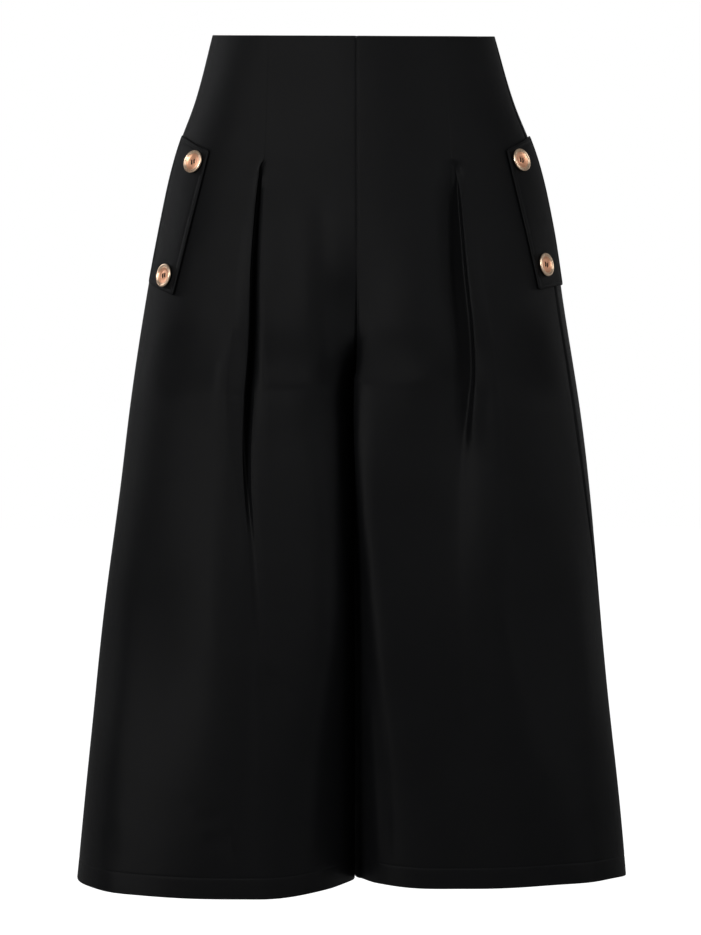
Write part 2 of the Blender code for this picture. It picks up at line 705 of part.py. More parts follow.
def build_pull(finish):
    """The teardrop pull: a bar in the slider's loop, an eye round its strap and a flat drop."""
    bar, eye_half, eye_foot = 0.45, 1.1, 4.4
    plate_half, length, foot_radius = 0.4, 22.0, 3.1
    shoulder_half = 2.4
    foot_centre = -(length - foot_radius)
    arc = [math.radians(angle) for angle in range(-180, 1, 20)]
    foot = [(foot_radius * math.cos(a), foot_centre + foot_radius * math.sin(a)) for a in arc]
    outline = [(shoulder_half, bar), (-shoulder_half, bar), *foot]
    plate = extrude_outline(outline, -plate_half, plate_half, "y")
    body = add_object("pull_plate", finish_mesh(plate, "pull_plate"), finish)
    eye = bmesh.new()
    box(eye, (-eye_half, -2.0, -eye_foot), (eye_half, 2.0, -bar))
    cutter = add_object("pull_eye", finish_mesh(eye, "pull_eye"), finish)
    pull = add_object("zip_pull", combine(body, cutter, "DIFFERENCE"), finish)
    pull.matrix_world = zip_frame()


# ---------------------------------------------------------------- the whole garment


def build():
    for thing in list(bpy.data.objects):
        bpy.data.objects.remove(thing)
    crepe, tape, rose, dark = (material(*look) for look in
                               (BLACK_CREPE, BLACK_TAPE, ROSE_METAL, DARK_METAL))
    build_panels(crepe)
    shared = button_mesh()
    for side in SIGN:
        build_tab(side, crepe)
        build_buttons(side, shared, rose)
    build_tapes(tape)
    build_slider(dark)
    build_pull(dark)


build()
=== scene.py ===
import math

import bmesh
import bpy
import numpy as np
from mathutils import Matrix, Vector


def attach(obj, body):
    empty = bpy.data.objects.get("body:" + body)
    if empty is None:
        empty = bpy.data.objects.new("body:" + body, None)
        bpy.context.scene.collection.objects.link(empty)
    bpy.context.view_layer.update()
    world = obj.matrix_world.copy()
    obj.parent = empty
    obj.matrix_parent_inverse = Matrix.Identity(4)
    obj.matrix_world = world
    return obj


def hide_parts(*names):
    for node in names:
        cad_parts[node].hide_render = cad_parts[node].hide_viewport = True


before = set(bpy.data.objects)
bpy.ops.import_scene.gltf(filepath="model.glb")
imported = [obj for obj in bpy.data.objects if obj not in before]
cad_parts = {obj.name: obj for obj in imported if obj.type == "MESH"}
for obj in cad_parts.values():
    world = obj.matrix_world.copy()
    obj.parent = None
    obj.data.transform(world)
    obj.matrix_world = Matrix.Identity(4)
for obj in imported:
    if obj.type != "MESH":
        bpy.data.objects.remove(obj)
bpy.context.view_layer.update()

print("frame loaded")

# Tables and sizes are in millimetres. A drop is measured down the cloth from the waist, and
# "across" is the distance from the centre plane. The front faces -Y, the wearer's right is -X.
mm = 0.001
signOf = {"right": -1.0, "left": 1.0}
towards = {"front": -1.0, "back": 1.0}
otherFace = {"front": "back", "back": "front"}


def newObject(name, data):
    made = bpy.data.objects.new(name, data)
    bpy.context.scene.collection.objects.link(made)
    return made


# camera, at the height of the middle of the garment
view = {"lens": 106.08, "sensor": 36.0, "place": (-0.0698, -2.499, -0.392), "turn": -1.6,
        "shift": -3.5 / 935}

cameraData = bpy.data.cameras.new("camera")
cameraData.lens = view["lens"]
cameraData.sensor_width = view["sensor"]
cameraData.shift_x = view["shift"]
camera = newObject("camera", cameraData)
camera.location = view["place"]
camera.rotation_euler = (math.radians(90), 0, math.radians(view["turn"]))
bpy.context.scene.camera = camera
bpy.context.scene.view_settings.view_transform = "Standard"


# small helpers for shader nodes
def addNode(tree, kind, inputs=None, **settings):
    made = tree.nodes.new("ShaderNode" + kind)
    for name, value in settings.items():
        setattr(made, name, value)
    for name, value in (inputs or {}).items():
        if isinstance(value, bpy.types.NodeSocket):
            tree.links.new(value, made.inputs[name])
        else:
            made.inputs[name].default_value = value
    return made


def noise(tree, place, scale, detail):
    return addNode(tree, "TexNoise", {"Vector": place, "Scale": scale, "Detail": detail}).outputs


def vectorMaths(tree, operation, inputs):
    return addNode(tree, "VectorMath", inputs, operation=operation).outputs


def maths(tree, operation, first, second=0.0, third=0.0):
    return addNode(tree, "Math", {0: first, 1: second, 2: third}, operation=operation).outputs[0]


def mixColour(tree, share, first, second):
    return addNode(tree, "Mix", {0: share, 6: first, 7: second}, data_type="RGBA").outputs[2]


def remap(tree, value, low, high, toLow, toHigh):
    names = ("Value", "From Min", "From Max", "To Min", "To Max")
    return addNode(tree, "MapRange", dict(zip(names, (value, low, high, toLow, toHigh)))).outputs[0]


def newGroup(name, inputs, outputs):
    group = bpy.data.node_groups.new(name, "ShaderNodeTree")
    for label, value in inputs.items():
        kind = "NodeSocketVector" if value is None else "NodeSocketFloat"
        socket = group.interface.new_socket(label, in_out="INPUT", socket_type=kind)
        if value is not None:
            socket.default_value = value
    for label in outputs:
        group.interface.new_socket(label, in_out="OUTPUT", socket_type="NodeSocketFloat")
    given = group.nodes.new("NodeGroupInput").outputs
    return group, given, group.nodes.new("NodeGroupOutput").inputs


def useGroup(tree, group, inputs):
    return addNode(tree, "Group", inputs, node_tree=group).outputs


# yarns crossing over and under each other, on a UV map that is in metres
def makeWeave():
    group, given, result = newGroup(
        "plainWeave", {"Vector": None, "Pitch mm": 0.5, "Uneven": 0.3}, ("Height", "Yarn"))
    perYarn = maths(group, "DIVIDE", 1000.0, given["Pitch mm"])
    scaled = vectorMaths(group, "SCALE", {0: given["Vector"], "Scale": perYarn})[0]
    wobble = noise(group, scaled, 0.4, 1.0)["Color"]
    centred = vectorMaths(group, "SUBTRACT", {0: wobble, 1: (0.5, 0.5, 0.5)})[0]
    shift = vectorMaths(group, "SCALE", {0: centred, "Scale": given["Uneven"]})[0]
    moved = vectorMaths(group, "ADD", {0: scaled, 1: shift})[0]
    along = addNode(group, "SeparateXYZ", {0: moved}).outputs
    warpRound, weftRound = (maths(group, "ABSOLUTE", maths(group, "SINE", maths(
        group, "MULTIPLY", along[i], math.pi))) for i in (0, 1))
    warp, weft = (maths(group, "MULTIPLY", own, maths(group, "MULTIPLY_ADD", other, 0.45, 0.55))
                  for own, other in ((warpRound, weftRound), (weftRound, warpRound)))
    cells = maths(group, "ADD", maths(group, "FLOOR", along[0]), maths(group, "FLOOR", along[1]))
    over = maths(group, "FLOORED_MODULO", cells, 2.0)
    step = maths(group, "SUBTRACT", warp, weft)
    group.links.new(maths(group, "MULTIPLY_ADD", step, over, weft), result["Height"])
    group.links.new(noise(group, scaled, 0.11, 2.0)["Fac"], result["Yarn"])
    return group


# soft unevenness of any surface: a slow tone, a fine grain and a scatter of small marks
def makeUneven():
    group, given, result = newGroup(
        "surfaceLife", {"Vector": None, "Size mm": 40.0}, ("Tone", "Grain", "Marks"))
    place = given["Vector"]
    scale = maths(group, "DIVIDE", 1000.0, given["Size mm"])
    fine = maths(group, "MULTIPLY", scale, 16.0)
    group.links.new(noise(group, place, scale, 3.0)["Fac"], result["Tone"])
    group.links.new(noise(group, place, fine, 2.0)["Fac"], result["Grain"])
    spots = addNode(group, "TexVoronoi", {"Vector": place, "Scale": fine}).outputs["Distance"]
    group.links.new(remap(group, spots, 0.02, 0.16, 1.0, 0.0), result["Marks"])
    return group


weaveGroup = makeWeave()
unevenGroup = makeUneven()


def newMaterial(name, **fixed):
    made = bpy.data.materials.new(name)
    made.use_nodes = True
    shader = made.node_tree.nodes["Principled BSDF"]
    for label, value in fixed.items():
        shader.inputs[label.replace("_", " ")].default_value = value
    return made, made.node_tree, shader.inputs


def objectPlace(tree):
    return addNode(tree, "TexCoord").outputs["Object"]


def unevenness(tree, size):
    return useGroup(tree, unevenGroup, {"Vector": objectPlace(tree), "Size mm": size})


def weaveOn(tree, place, look):
    return useGroup(tree, weaveGroup, {"Vector": place, "Pitch mm": look["pitch"],
                                       "Uneven": look["uneven"]})


# joins a finish's colour, roughness and bump; a look's bump is its depth in metres and strength
def joinLook(tree, sockets, look, colour, roughness, height):
    depth, strength = look["bump"]
    bump = addNode(tree, "Bump", {"Height": height, "Distance": depth, "Strength": strength})
    for name, value in (("Base Color", colour), ("Roughness", roughness),
                        ("Normal", bump.outputs[0])):
        tree.links.new(value, sockets[name])


# one pattern takes the colour from dark to light, and another sets the roughness; a look's
# roughness is the pattern's range and then its own
def mixLook(tree, sockets, look, tone, rough, height):
    joinLook(tree, sockets, look, mixColour(tree, tone, look["dark"], look["light"]),
             remap(tree, rough, *look["roughness"]), height)


crepeLook = {"dark": (0.0030, 0.0031, 0.0034, 1), "light": (0.0050, 0.0052, 0.0057, 1),
             "roughness": (0.3, 0.7, 0.31, 0.39), "bump": (0.00010, 0.6), "pitch": 0.46,
             "uneven": 0.55, "patch": 45.0}


# matte stretch crepe: a fine dry weave with a slight bloom at glancing angles
def makeCrepe():
    made, tree, sockets = newMaterial(
        "blackCrepe", Sheen_Weight=0.002, Sheen_Roughness=0.35, Sheen_Tint=(0.86, 0.88, 1.0, 1),
        Specular_IOR_Level=0.06)
    weave = weaveOn(tree, addNode(tree, "UVMap", uv_map="cloth").outputs[0], crepeLook)
    life = unevenness(tree, crepeLook["patch"])
    tone = maths(tree, "MULTIPLY_ADD", weave["Height"], 0.35,
                 maths(tree, "MULTIPLY", life["Tone"], 0.65))
    mixLook(tree, sockets, crepeLook, tone, weave["Yarn"],
            maths(tree, "MULTIPLY_ADD", life["Grain"], 0.8, weave["Height"]))
    return made


# the rim colour is lighter than the dish as a painted highlight; the rim's lower roughness is real
# polish
roseLook = {"rim": (1.0, 0.75, 0.54, 1), "dish": (1.0, 0.54, 0.34, 1),
            "dull": (0.76, 0.38, 0.23, 1), "rimFrom": 0.335, "rimTo": 0.37, "rings": 720.0,
            "roughness": (0.36, 0.22), "bump": (0.000012, 0.5), "patch": 6.0}


# rose-gold plate: a polished rim whose lighter colour is a painted highlight, a satin turned dish
# and a few fine marks
def makeRose():
    made, tree, sockets = newMaterial("roseGold", Metallic=1.0)
    uv = addNode(tree, "UVMap", uv_map="button").outputs[0]
    flat = vectorMaths(tree, "SUBTRACT", {0: uv, 1: (0.5, 0.5, 0.0)})[0]
    radius = vectorMaths(tree, "LENGTH", {0: flat})["Value"]
    life = unevenness(tree, roseLook["patch"])
    rim = remap(tree, radius, roseLook["rimFrom"], roseLook["rimTo"], 0.0, 1.0)
    # painted highlight: the rim is given a lighter colour than the dish
    base = mixColour(tree, rim, roseLook["dish"], roseLook["rim"])
    worn = remap(tree, life["Tone"], 0.5, 0.75, 0.0, 0.35)
    satin = remap(tree, rim, 0.0, 1.0, *roseLook["roughness"])
    rings = maths(tree, "SINE", maths(tree, "MULTIPLY", radius, roseLook["rings"]))
    turned = maths(tree, "MULTIPLY", rings, maths(tree, "SUBTRACT", 1.0, rim))
    joinLook(tree, sockets, roseLook, mixColour(tree, worn, base, roseLook["dull"]),
             maths(tree, "MULTIPLY_ADD", life["Grain"], 0.12, satin),
             maths(tree, "MULTIPLY_ADD", life["Marks"], -0.6, turned))
    return made


enamelLook = {"dark": (0.010, 0.010, 0.011, 1), "light": (0.05, 0.05, 0.055, 1),
              "roughness": (0.3, 0.7, 0.24, 0.42), "bump": (-0.00002, 0.4), "patch": 5.0}


# black enamelled zip metal, rubbed a little brighter where the grain is high
def makeEnamel():
    made, tree, sockets = newMaterial("blackEnamel", Metallic=0.55, Coat_Weight=0.25)
    life = unevenness(tree, enamelLook["patch"])
    rubbed = remap(tree, life["Grain"], 0.55, 0.8, 0.0, 0.5)
    mixLook(tree, sockets, enamelLook, rubbed, life["Tone"], life["Marks"])
    return made


tapeLook = {"dark": (0.006, 0.006, 0.007, 1), "light": (0.016, 0.016, 0.018, 1),
            "roughness": (0.3, 0.7, 0.66, 0.82), "bump": (0.0003, 0.7), "pitch": 0.8,
            "uneven": 0.2}


# the zip's woven tape, ribbed along its length
def makeTape():
    made, tree, sockets = newMaterial("blackTape", Sheen_Weight=0.1, Specular_IOR_Level=0.3)
    along = addNode(tree, "Mapping", {"Vector": objectPlace(tree),
                                      "Rotation": (math.radians(90), 0, 0)}).outputs[0]
    weave = weaveOn(tree, along, tapeLook)
    mixLook(tree, sockets, tapeLook, weave["Height"], weave["Yarn"], weave["Height"])
    return made


threadLook = {"dark": (0.0025, 0.0025, 0.003, 1), "light": (0.0065, 0.0065, 0.0075, 1),
              "roughness": (0, 1, 0.38, 0.55), "bump": (0.00005, 0.5)}


# spun black sewing thread
def makeThread():
    made, tree, sockets = newMaterial("blackThread", Specular_IOR_Level=0.1)
    ply = addNode(tree, "TexWave", {"Vector": objectPlace(tree), "Scale": 900.0,
                                    "Distortion": 1.5}, bands_direction="DIAGONAL").outputs["Fac"]
    mixLook(tree, sockets, threadLook, ply, ply, ply)
    return made


crepe = makeCrepe()
roseGold, enamel, tapeCloth, thread = makeRose(), makeEnamel(), makeTape(), makeThread()
print("materials made")


# a table with named columns; every row starts with its drop
def table(columns, *rows):
    return {name: np.array([row[i] for row in rows], float)
            for i, name in enumerate(columns.split())}


# half widths to each side, depths to the front and the back, squareness of each section
bodyForm = table(
    "drop right left front back square",
    (0, 128, 127.5, 82, 98, 2.15),
    (60, 143.8, 144.8, 83, 104, 2.15),
    (112, 162.5, 165, 86, 115, 2.2),
    (172, 176, 179.7, 94, 126, 2.3),
    (240, 188, 190, 101, 130, 2.45),
    (331, 201.5, 204, 108, 126, 2.6),
    (467, 219, 219, 112, 122, 2.6),
    (603, 235, 231.7, 114, 120, 2.6),
    (762, 250.6, 244.5, 116, 118, 2.6),
)
# depths of one leg, how square its inner half is in front and behind, and how far its inner side
# slants away from the centre there
legForm = table(
    "drop depth_right depth_left depth_back square_side square_right square_left square_back "
    "slant_right slant_left slant_back",
    (200, 101, 101, 127, 1.9, 6.5, 9, 6, 0, 0, 0),
    (280, 104.2, 104, 126, 1.9, 6, 13, 5.4, 0.02, 0, 0.01),
    (314, 105.6, 105.2, 126, 1.9, 5.6, 16, 5, 0.08, -0.03, 0.02),
    (336, 106.6, 106, 125, 1.9, 5.8, 16, 4.3, 0.11, -0.045, 0.03),
    (360, 107.6, 106.8, 124, 1.9, 6.4, 18, 3.8, 0.11, -0.04, 0.03),
    (430, 110.4, 108.6, 122, 1.9, 8, 22, 3, 0.1, 0.008, 0.03),
    (480, 112, 109, 121, 1.9, 8.5, 16, 2.9, 0.1, 0.042, 0.03),
    (530, 113, 108.6, 121, 1.9, 8.2, 11, 2.8, 0.105, 0.058, 0.03),
    (580, 114, 107.4, 120, 2.05, 6, 7, 2.8, 0.125, 0.058, 0.03),
    (640, 115.5, 104.8, 119, 2.4, 4.2, 5, 2.7, 0.15, 0.055, 0.03),
    (762, 118, 99, 118, 3, 2.9, 3.6, 2.6, 0.17, 0.075, 0.03),
)
# how much lower than the side seam the hem hangs, by the share of the way to the inseam
hemForm = table(
    "drop right left",
    (0, 0, 0),
    (0.2, 0.2, -3.8),
    (0.4, 3.2, -2),
    (0.58, 6.2, 0.8),
    (0.8, 2.4, -1.2),
    (0.93, 1.8, -1),
    (1, 3.6, 3),
)
# angle of the side seam, in degrees forward of the side
sideSeam = table(
    "drop right left",
    (0, -2, 8),
    (112, -3, 14),
    (210, -4, 22),
    (304, -4, 22),
    (375, -3, 21),
    (433, -3, 18),
    (473, -2, 14),
    (520, -2, 6),
    (620, 0, 1),
    (762, 0, 0),
)
# the knife pleats: fold and ridge from the centre, how far the fold laps over, how deep and wide
# the trough under it is, the ridge's height, and its half widths nearer and farther than its crest
pleatForm = table(
    "drop fold_right fold_left ridge_right ridge_left lap_right lap_left depth_right depth_left "
    "width_right width_left height near far",
    (0, 77.3, 79, 90, 90, 0, 0, 0, 0, 10, 10, 0.2, 12, 12),
    (100, 80.6, 83.6, 93, 96, 0, 0, 0, 0, 7, 8, 0.2, 12, 14),
    (107, 81.1, 84.2, 94, 97, 0, 0, 0, 0, 7, 8, 0.2, 12, 14),
    (114, 84.9, 87.8, 94, 97, 1.2, 1.2, 2.6, 2.6, 7, 8, 0.3, 12, 15),
    (122, 86.4, 89.6, 95, 98, 2.2, 2, 5, 5, 8, 10, 0.4, 12, 16),
    (140, 89.2, 91.9, 96, 101, 3.8, 3.4, 9, 9, 11, 15, 0.6, 12, 12),
    (165, 92.3, 94.1, 99, 105, 5.6, 4.8, 13, 12, 14, 20, 1, 12, 12),
    (200, 95.5, 97, 103, 109, 7.4, 6, 16, 15, 18, 25, 1.8, 12, 14),
    (260, 97.8, 102.2, 110.5, 115, 9, 6.2, 18, 14, 22, 29, 3.2, 12, 17),
    (312, 100.4, 103.1, 118, 120, 9.4, 5.6, 18, 13, 24, 31, 4.2, 12, 20),
    (350, 101.7, 100.8, 120, 124, 8.6, 4, 15.5, 12, 23, 32, 4.6, 12, 20),
    (385, 101.1, 96.5, 121, 127, 5.2, 1.6, 10, 10, 18, 34, 4.6, 13, 20),
    (420, 98.5, 94.4, 122, 129, 2, 0.2, 5, 7, 13, 36, 4.6, 14, 20),
    (460, 94.6, 93, 125.5, 131, 0.4, 0, 1.8, 4.6, 11, 40, 4.5, 16, 20),
    (520, 92, 94, 127, 134, 0, 0, 0.4, 2.2, 16, 46, 3.8, 18, 21),
    (600, 91, 96, 132, 138, 0, 0, 0, 0.9, 26, 50, 2.4, 22, 24),
    (762, 92, 98, 140, 146, 0, 0, 0, 0.3, 40, 54, 0.8, 28, 28),
)
form = {
    "hem": 759.7, "waistDipFront": 0.157, "waistRiseBack": 0.05, "dipFades": 200.0,
    # the torso's section turns into the legs' sections, and the crotch seam turns under
    "legBegins": 130.0, "legFull": 262.0, "forkTop": 235.0, "forkFoot": 340.0, "crotch": 316.0,
    "forkStart": {"front": 274.0, "back": 226.0}, "deepest": {"front": 0.40, "back": 0.45},
    "corner": 0.9, "lineShare": 0.55, "samples": 361,
    # the gap between the legs bends, so it can't be looked through
    "legGap": 0.35, "gapGrows": 20.0, "pullFades": 10.0, "inseamBack": 5.0,
    "gapTurn": -0.09, "turnReach": 40.0, "turnFades": 12.0,
    # the trough under a fold, in widths: its place, its reach under the fold, its open reach and
    # its long reach, then the share of the depth that reaches far, and mm added where nothing laps
    "trough": {"right": (0.26, 0.20, 0.17, 0.90, -0.07, 0.0),
               "left": (0.18, 0.16, 0.38, 1.0, 0.78, 9.0)},
    "crest": 3.0, "lapsFully": 4.0, "foldsGrow": 2.5,
}
# soft hanging folds: distance from the centre at their top and at the hem, the drop where they
# start, their height and half width
softFolds = {
    # top, foot, start, height, spread
    "front right": ((196, 214, 380, 3.5, 16),),
    "front left": ((190, 205, 420, 3, 16),),
    "back right": ((66, 84, 300, 6.5, 24), (150, 168, 380, 6, 22)),
    "back left": ((72, 78, 330, 6, 22), (146, 172, 340, 6.5, 24)),
}
# creases: (across, drop) at both ends, height (a trough is negative) and half width
creases = {
    "front right": (
        ((138, 676), (113, 728), -1.6, 4),
        ((146, 690), (122, 742), 0.9, 6),
        ((78, 566), (55, 594), -0.9, 4),
        ((213, 700), (202, 752), -1.6, 5),
        ((21, 320), (32, 150), -0.9, 9),
        ((8, 354), (14, 226), -2.4, 20),
        ((25, 340), (30, 232), -0.8, 5),
        ((29, 372), (29, 565), 0.8, 9),
        ((29, 545), (43, 742), 1.4, 8),
    ),
    "front left": (
        ((3, 345), (6, 640), 2, 20),
        ((0.5, 440), (15.5, 592), -3.4, 2.6),
        ((16, 574), (27, 745), -2.7, 3),
        ((126, 470), (176, 650), -1, 8),
        ((30, 262), (66, 318), 0.5, 15),
        ((206, 690), (190, 745), -1.2, 6),
    ),
    "back right": (((34, 250), (96, 300), -1.4, 9), ((110, 600), (150, 735), -1.2, 8)),
    "back left": (((30, 262), (100, 322), -1.3, 10), ((120, 560), (160, 690), -1.3, 8)),
}


# a cubic through values at these knots, level beyond both ends
def cubic(knots, values, place):
    values = np.asarray(values, float)
    slopes = np.gradient(values, knots, axis=0)
    place = np.clip(place, knots[0], knots[-1])
    i = np.clip(np.searchsorted(knots, place, side="right") - 1, 0, len(knots) - 2)
    span = knots[i + 1] - knots[i]
    t = (place - knots[i]) / span
    ease = t * t * (3 - 2 * t)
    bend = span * (t * (1 - t) ** 2 * slopes[i] - t * t * (1 - t) * slopes[i + 1])
    return values[i] * (1 - ease) + values[i + 1] * ease + bend


# a column read at a drop; most columns are kept for each side on its own
def at(rows, column, drop, side=None):
    return cubic(rows["drop"], rows[column if column in rows else f"{column}_{side}"], drop)


def smooth(t):
    t = np.clip(t, 0.0, 1.0)
    return t * t * (3 - 2 * t)


# the distance of each point of a path along it
def lengthsAlong(path):
    steps = np.linalg.norm(np.diff(path, axis=0), axis=1)
    return np.concatenate([[0.0], np.cumsum(steps)])


# how far a value has gone from one to the other, with soft ends
def ramp(value, start, end):
    return smooth((value - start) / (end - start))


def bell(t):
    return np.exp(-t * t)


def raised(value, power):
    return np.sign(value) * np.abs(value) ** power


def unit(vectors):
    return vectors / np.linalg.norm(vectors, axis=-1, keepdims=True)


# a section round the hips; the angle runs from the side (0) to the middle of the face (90)
def torsoSection(side, face, drop, angle):
    power = 2 / at(bodyForm, "square", drop)
    depth = np.where(np.sin(angle) >= 0, at(bodyForm, face, drop),
                     at(bodyForm, otherFace[face], drop))
    x = at(bodyForm, side, drop) * raised(np.cos(angle), power)
    return x, towards[face] * depth * raised(np.sin(angle), power)


def legSize(size, side, face, drop):
    return at(legForm, size, drop, side if face == "front" else "back")


# a section round one leg; the angle runs from the side (0) to the inseam (180)
def legSection(side, face, drop, angle):
    half = at(bodyForm, side, drop)
    ridge = form["deepest"][face] * half
    outer = np.cos(angle) >= 0
    power = np.where(outer, 2 / at(legForm, "square_side", drop),
                     2 / legSize("square", side, face, drop))
    reach = np.where(outer, half - ridge, ridge - form["legGap"])
    depth = np.where(np.sin(angle) >= 0, legSize("depth", side, face, drop),
                     legSize("depth", side, otherFace[face], drop))
    sideways = raised(np.cos(angle), power)
    y = towards[face] * depth * raised(np.sin(angle), power)
    slant = legSize("slant", side, face, drop) * y * y / depth
    below = (drop - form["crotch"] + form["turnFades"]) / (2 * form["turnFades"])
    slant += signOf[side] * form["gapTurn"] * y * bell(y / form["turnReach"]) * smooth(below)
    x = ridge + reach * sideways + slant * np.clip(-sideways, 0, 1)
    return x, y + form["inseamBack"] * (1 - np.cos(angle)) / 2


# how far the crotch seam has turned under, on the row at this level
def forkTurn(level):
    t = min(max((level - form["forkTop"]) / (form["forkFoot"] - form["forkTop"]), 0.0), 1.0)
    return (t + t * t - t ** 3) * math.pi / 2


def centreDrop(face, level):
    start, top, foot = form["forkStart"][face], form["forkTop"], form["forkFoot"]
    if level < top:
        return level * start / top
    if level < foot:
        return start + (form["crotch"] - start) * math.sin(forkTurn(level))
    return form["crotch"] + (form["hem"] - form["crotch"]) * (level - foot) / (form["hem"] - foot)


# one row of a panel: fine points of the smooth form from its inner end to the side seam
def makeRow(side, face, level):
    u = np.linspace(1.0, 0.0, form["samples"])
    foot, line = form["forkFoot"], form["lineShare"]
    drop = level + (centreDrop(face, level) - level) * smooth(u)
    drop += at(hemForm, side, u) * ramp(level, foot, form["hem"])
    start = -towards[face] * np.radians(at(sideSeam, side, drop))
    deepest = np.arccos(form["deepest"][face] ** (at(bodyForm, "square", drop) / 2))
    outer = np.clip(u / line, 0, 1)
    inward = np.clip((u - line) / (1 - line), 0, 1)
    torsoAngle = start + (deepest - start) * outer + (np.pi / 2 - deepest) * inward
    square = float(legSize("square", side, face, drop[0]))
    lastAngle = math.pi - math.asin((form["corner"] * math.cos(forkTurn(level))) ** (square / 2))
    legAngle = start + (np.pi / 2 - start) * outer + (lastAngle - np.pi / 2) * inward
    share = ramp(level, form["legBegins"], form["legFull"])
    torsoX, torsoY = torsoSection(side, face, drop, torsoAngle)
    legX, legY = legSection(side, face, drop, legAngle)
    x = torsoX * (1 - share) + legX * share
    y = torsoY * (1 - share) + legY * share
    gap = form["legGap"] * smooth((level - foot) / form["gapGrows"])
    x -= share * (legX[0] - gap) * np.exp((x[0] - x) / form["pullFades"])
    dip = np.where(y < 0, form["waistDipFront"], form["waistRiseBack"])
    z = -drop + dip * (1 - smooth(drop / form["dipFades"])) * y
    points = np.stack([x, y, z], axis=1)
    along = lengthsAlong(points[:, :2])
    row = {"side": side, "face": face, "level": level, "points": points, "along": along,
           "length": along[-1]}
    if face == "front":
        pleat = {name: max(0.0, float(at(pleatForm, name, level, side)))
                 for name in ("fold", "ridge", "lap", "depth", "width", "height", "near", "far")}
        fold, ridge = (distanceOf(row, pleat[name]) for name in ("fold", "ridge"))
        row["pleat"] = {**pleat, "fold": fold, "ridge": ridge - fold}
    return row


def distanceOf(row, across):
    return float(np.interp(across, row["points"][:, 0], row["along"]))


# a line of points read at these distances along it
def readAlong(along, points, distance):
    return np.stack([np.interp(distance, along, column) for column in points.T], -1)


# slow uneven waves that keep the cloth from looking machined: their lengths round and down the
# garment, and their heights at the waist and the hem
waves = {"seed": 11, "count": 7, "round": (70, 150), "down": (220, 520), "waist": 0.12,
         "hem": 0.75, "growFrom": 80.0, "growTo": 500.0, "spread": 1.8, "inseamFades": 24.0}


def makeWaves():
    chance, count = np.random.default_rng(waves["seed"]), waves["count"]
    turns = chance.uniform(0, 2 * np.pi, count)
    widths, tall = chance.uniform(*waves["round"], count), chance.uniform(*waves["down"], count)
    rates = np.stack([np.cos(turns) / widths, np.sin(turns) / widths, 1 / tall], 1) * 2 * np.pi
    return rates, chance.uniform(0, 2 * np.pi, count)


waveRates, wavePhases = makeWaves()


def wander(points, drop):
    grown = ramp(drop, waves["growFrom"], waves["growTo"])
    height = waves["waist"] + (waves["hem"] - waves["waist"]) * grown
    return np.sin(points @ waveRates.T + wavePhases).sum(axis=1) * height / waves["spread"]


# a crease tapers at both ends and has a lower roll of the other sign along one side
creaseForm = {"taper": 0.3, "roll": 0.45, "rollAway": 2}


def creaseLift(side, face, across, drop):
    lift = np.zeros_like(across)
    for start, end, height, spread in creases[f"{face} {side}"]:
        run = np.subtract(end, start)
        length = np.hypot(*run)
        run = run / length
        away = np.stack([across - start[0], drop - start[1]], 1)
        along = away @ run / length
        beside = away @ (-run[1], run[0])
        tip = creaseForm["taper"]
        taper = smooth(along / tip + tip) * smooth((1 - along) / tip + tip)
        roll = bell((beside - creaseForm["rollAway"] * spread) / spread)
        lift += height * taper * (bell(beside / spread) - creaseForm["roll"] * roll)
    return lift


def softLift(side, face, across, drop):
    lift = np.zeros_like(across)
    for top, foot, start, height, spread in softFolds[f"{face} {side}"]:
        down = (drop - start) / (form["hem"] - start)
        middle = top + (foot - top) * down
        lift += height * smooth(down * form["foldsGrow"]) * bell((across - middle) / spread)
    return lift


# the stitched tuck above the pleat: its outer side lies over its inner side
tuck = {"step": 0.22, "foot": 105.0, "fades": 8, "edge": 0.7, "overFades": 8, "dip": 0.25,
        "dipFades": 1.5}


def tuckLift(flat, level):
    fade = 1 - smooth((level - tuck["foot"]) / tuck["fades"])
    over = smooth(flat / tuck["edge"] + 0.5) * np.exp(-np.clip(flat, 0, None) / tuck["overFades"])
    under = -tuck["dip"] * np.exp(np.clip(flat, None, 0) / tuck["dipFades"])
    return tuck["step"] * fade * (over + under)


# places on a row, for the panels' cloth and for what lies on it. The cloth gives its distance
# there before it is folded, flat, and only it has the tucks, creases and waves
def placeOnRow(row, distance, flat=None):
    distance = np.atleast_1d(distance).astype(float)
    fine = flat is not None
    side, face, points, along = row["side"], row["face"], row["points"], row["along"]
    base = readAlong(along, points, distance)
    step = 1.5
    ahead, behind = (readAlong(along, points[:, :2], np.clip(distance + move, 0, along[-1]))
                     for move in (step, -step))
    run = unit(ahead - behind)
    out = np.stack([-run[:, 1], run[:, 0]], 1) * towards[face]
    drop = -base[:, 2]
    lift = softLift(side, face, base[:, 0], drop)
    if face == "front":
        pleat = row["pleat"]
        laid = (flat if fine else distance) - pleat["fold"]
        *shares, long, soft = form["trough"][side]
        place, under, opened, far = (share * pleat["width"] for share in shares)
        under += soft * (1 - smooth(pleat["lap"] / form["lapsFully"]))
        fromRidge, fromTrough = laid - pleat["ridge"], laid + place
        beyond = (np.hypot(fromRidge, form["crest"]) - form["crest"]) / pleat["far"]
        nearer = bell(fromRidge / pleat["near"])
        lift += pleat["height"] * np.where(fromRidge < 0, nearer, np.exp(-beyond))
        openSide = (1 - long) * bell(fromTrough / opened) + long * bell(fromTrough / far)
        lift -= pleat["depth"] * np.where(fromTrough < 0, openSide, bell(fromTrough / under))
        if fine:
            lift += tuckLift(laid, row["level"])
    if fine:      # both die out where the cloth turns in between the legs
        lift += creaseLift(side, face, base[:, 0], drop) * np.clip(out[:, 1] * towards[face], 0, 1)
        fades = smooth(base[:, 0] / waves["inseamFades"])
        lift += wander(base * (signOf[side], 1, 1), drop) * fades
    base[:, :2] += out * lift[:, None]
    base[:, 0] *= signOf[side]
    return base


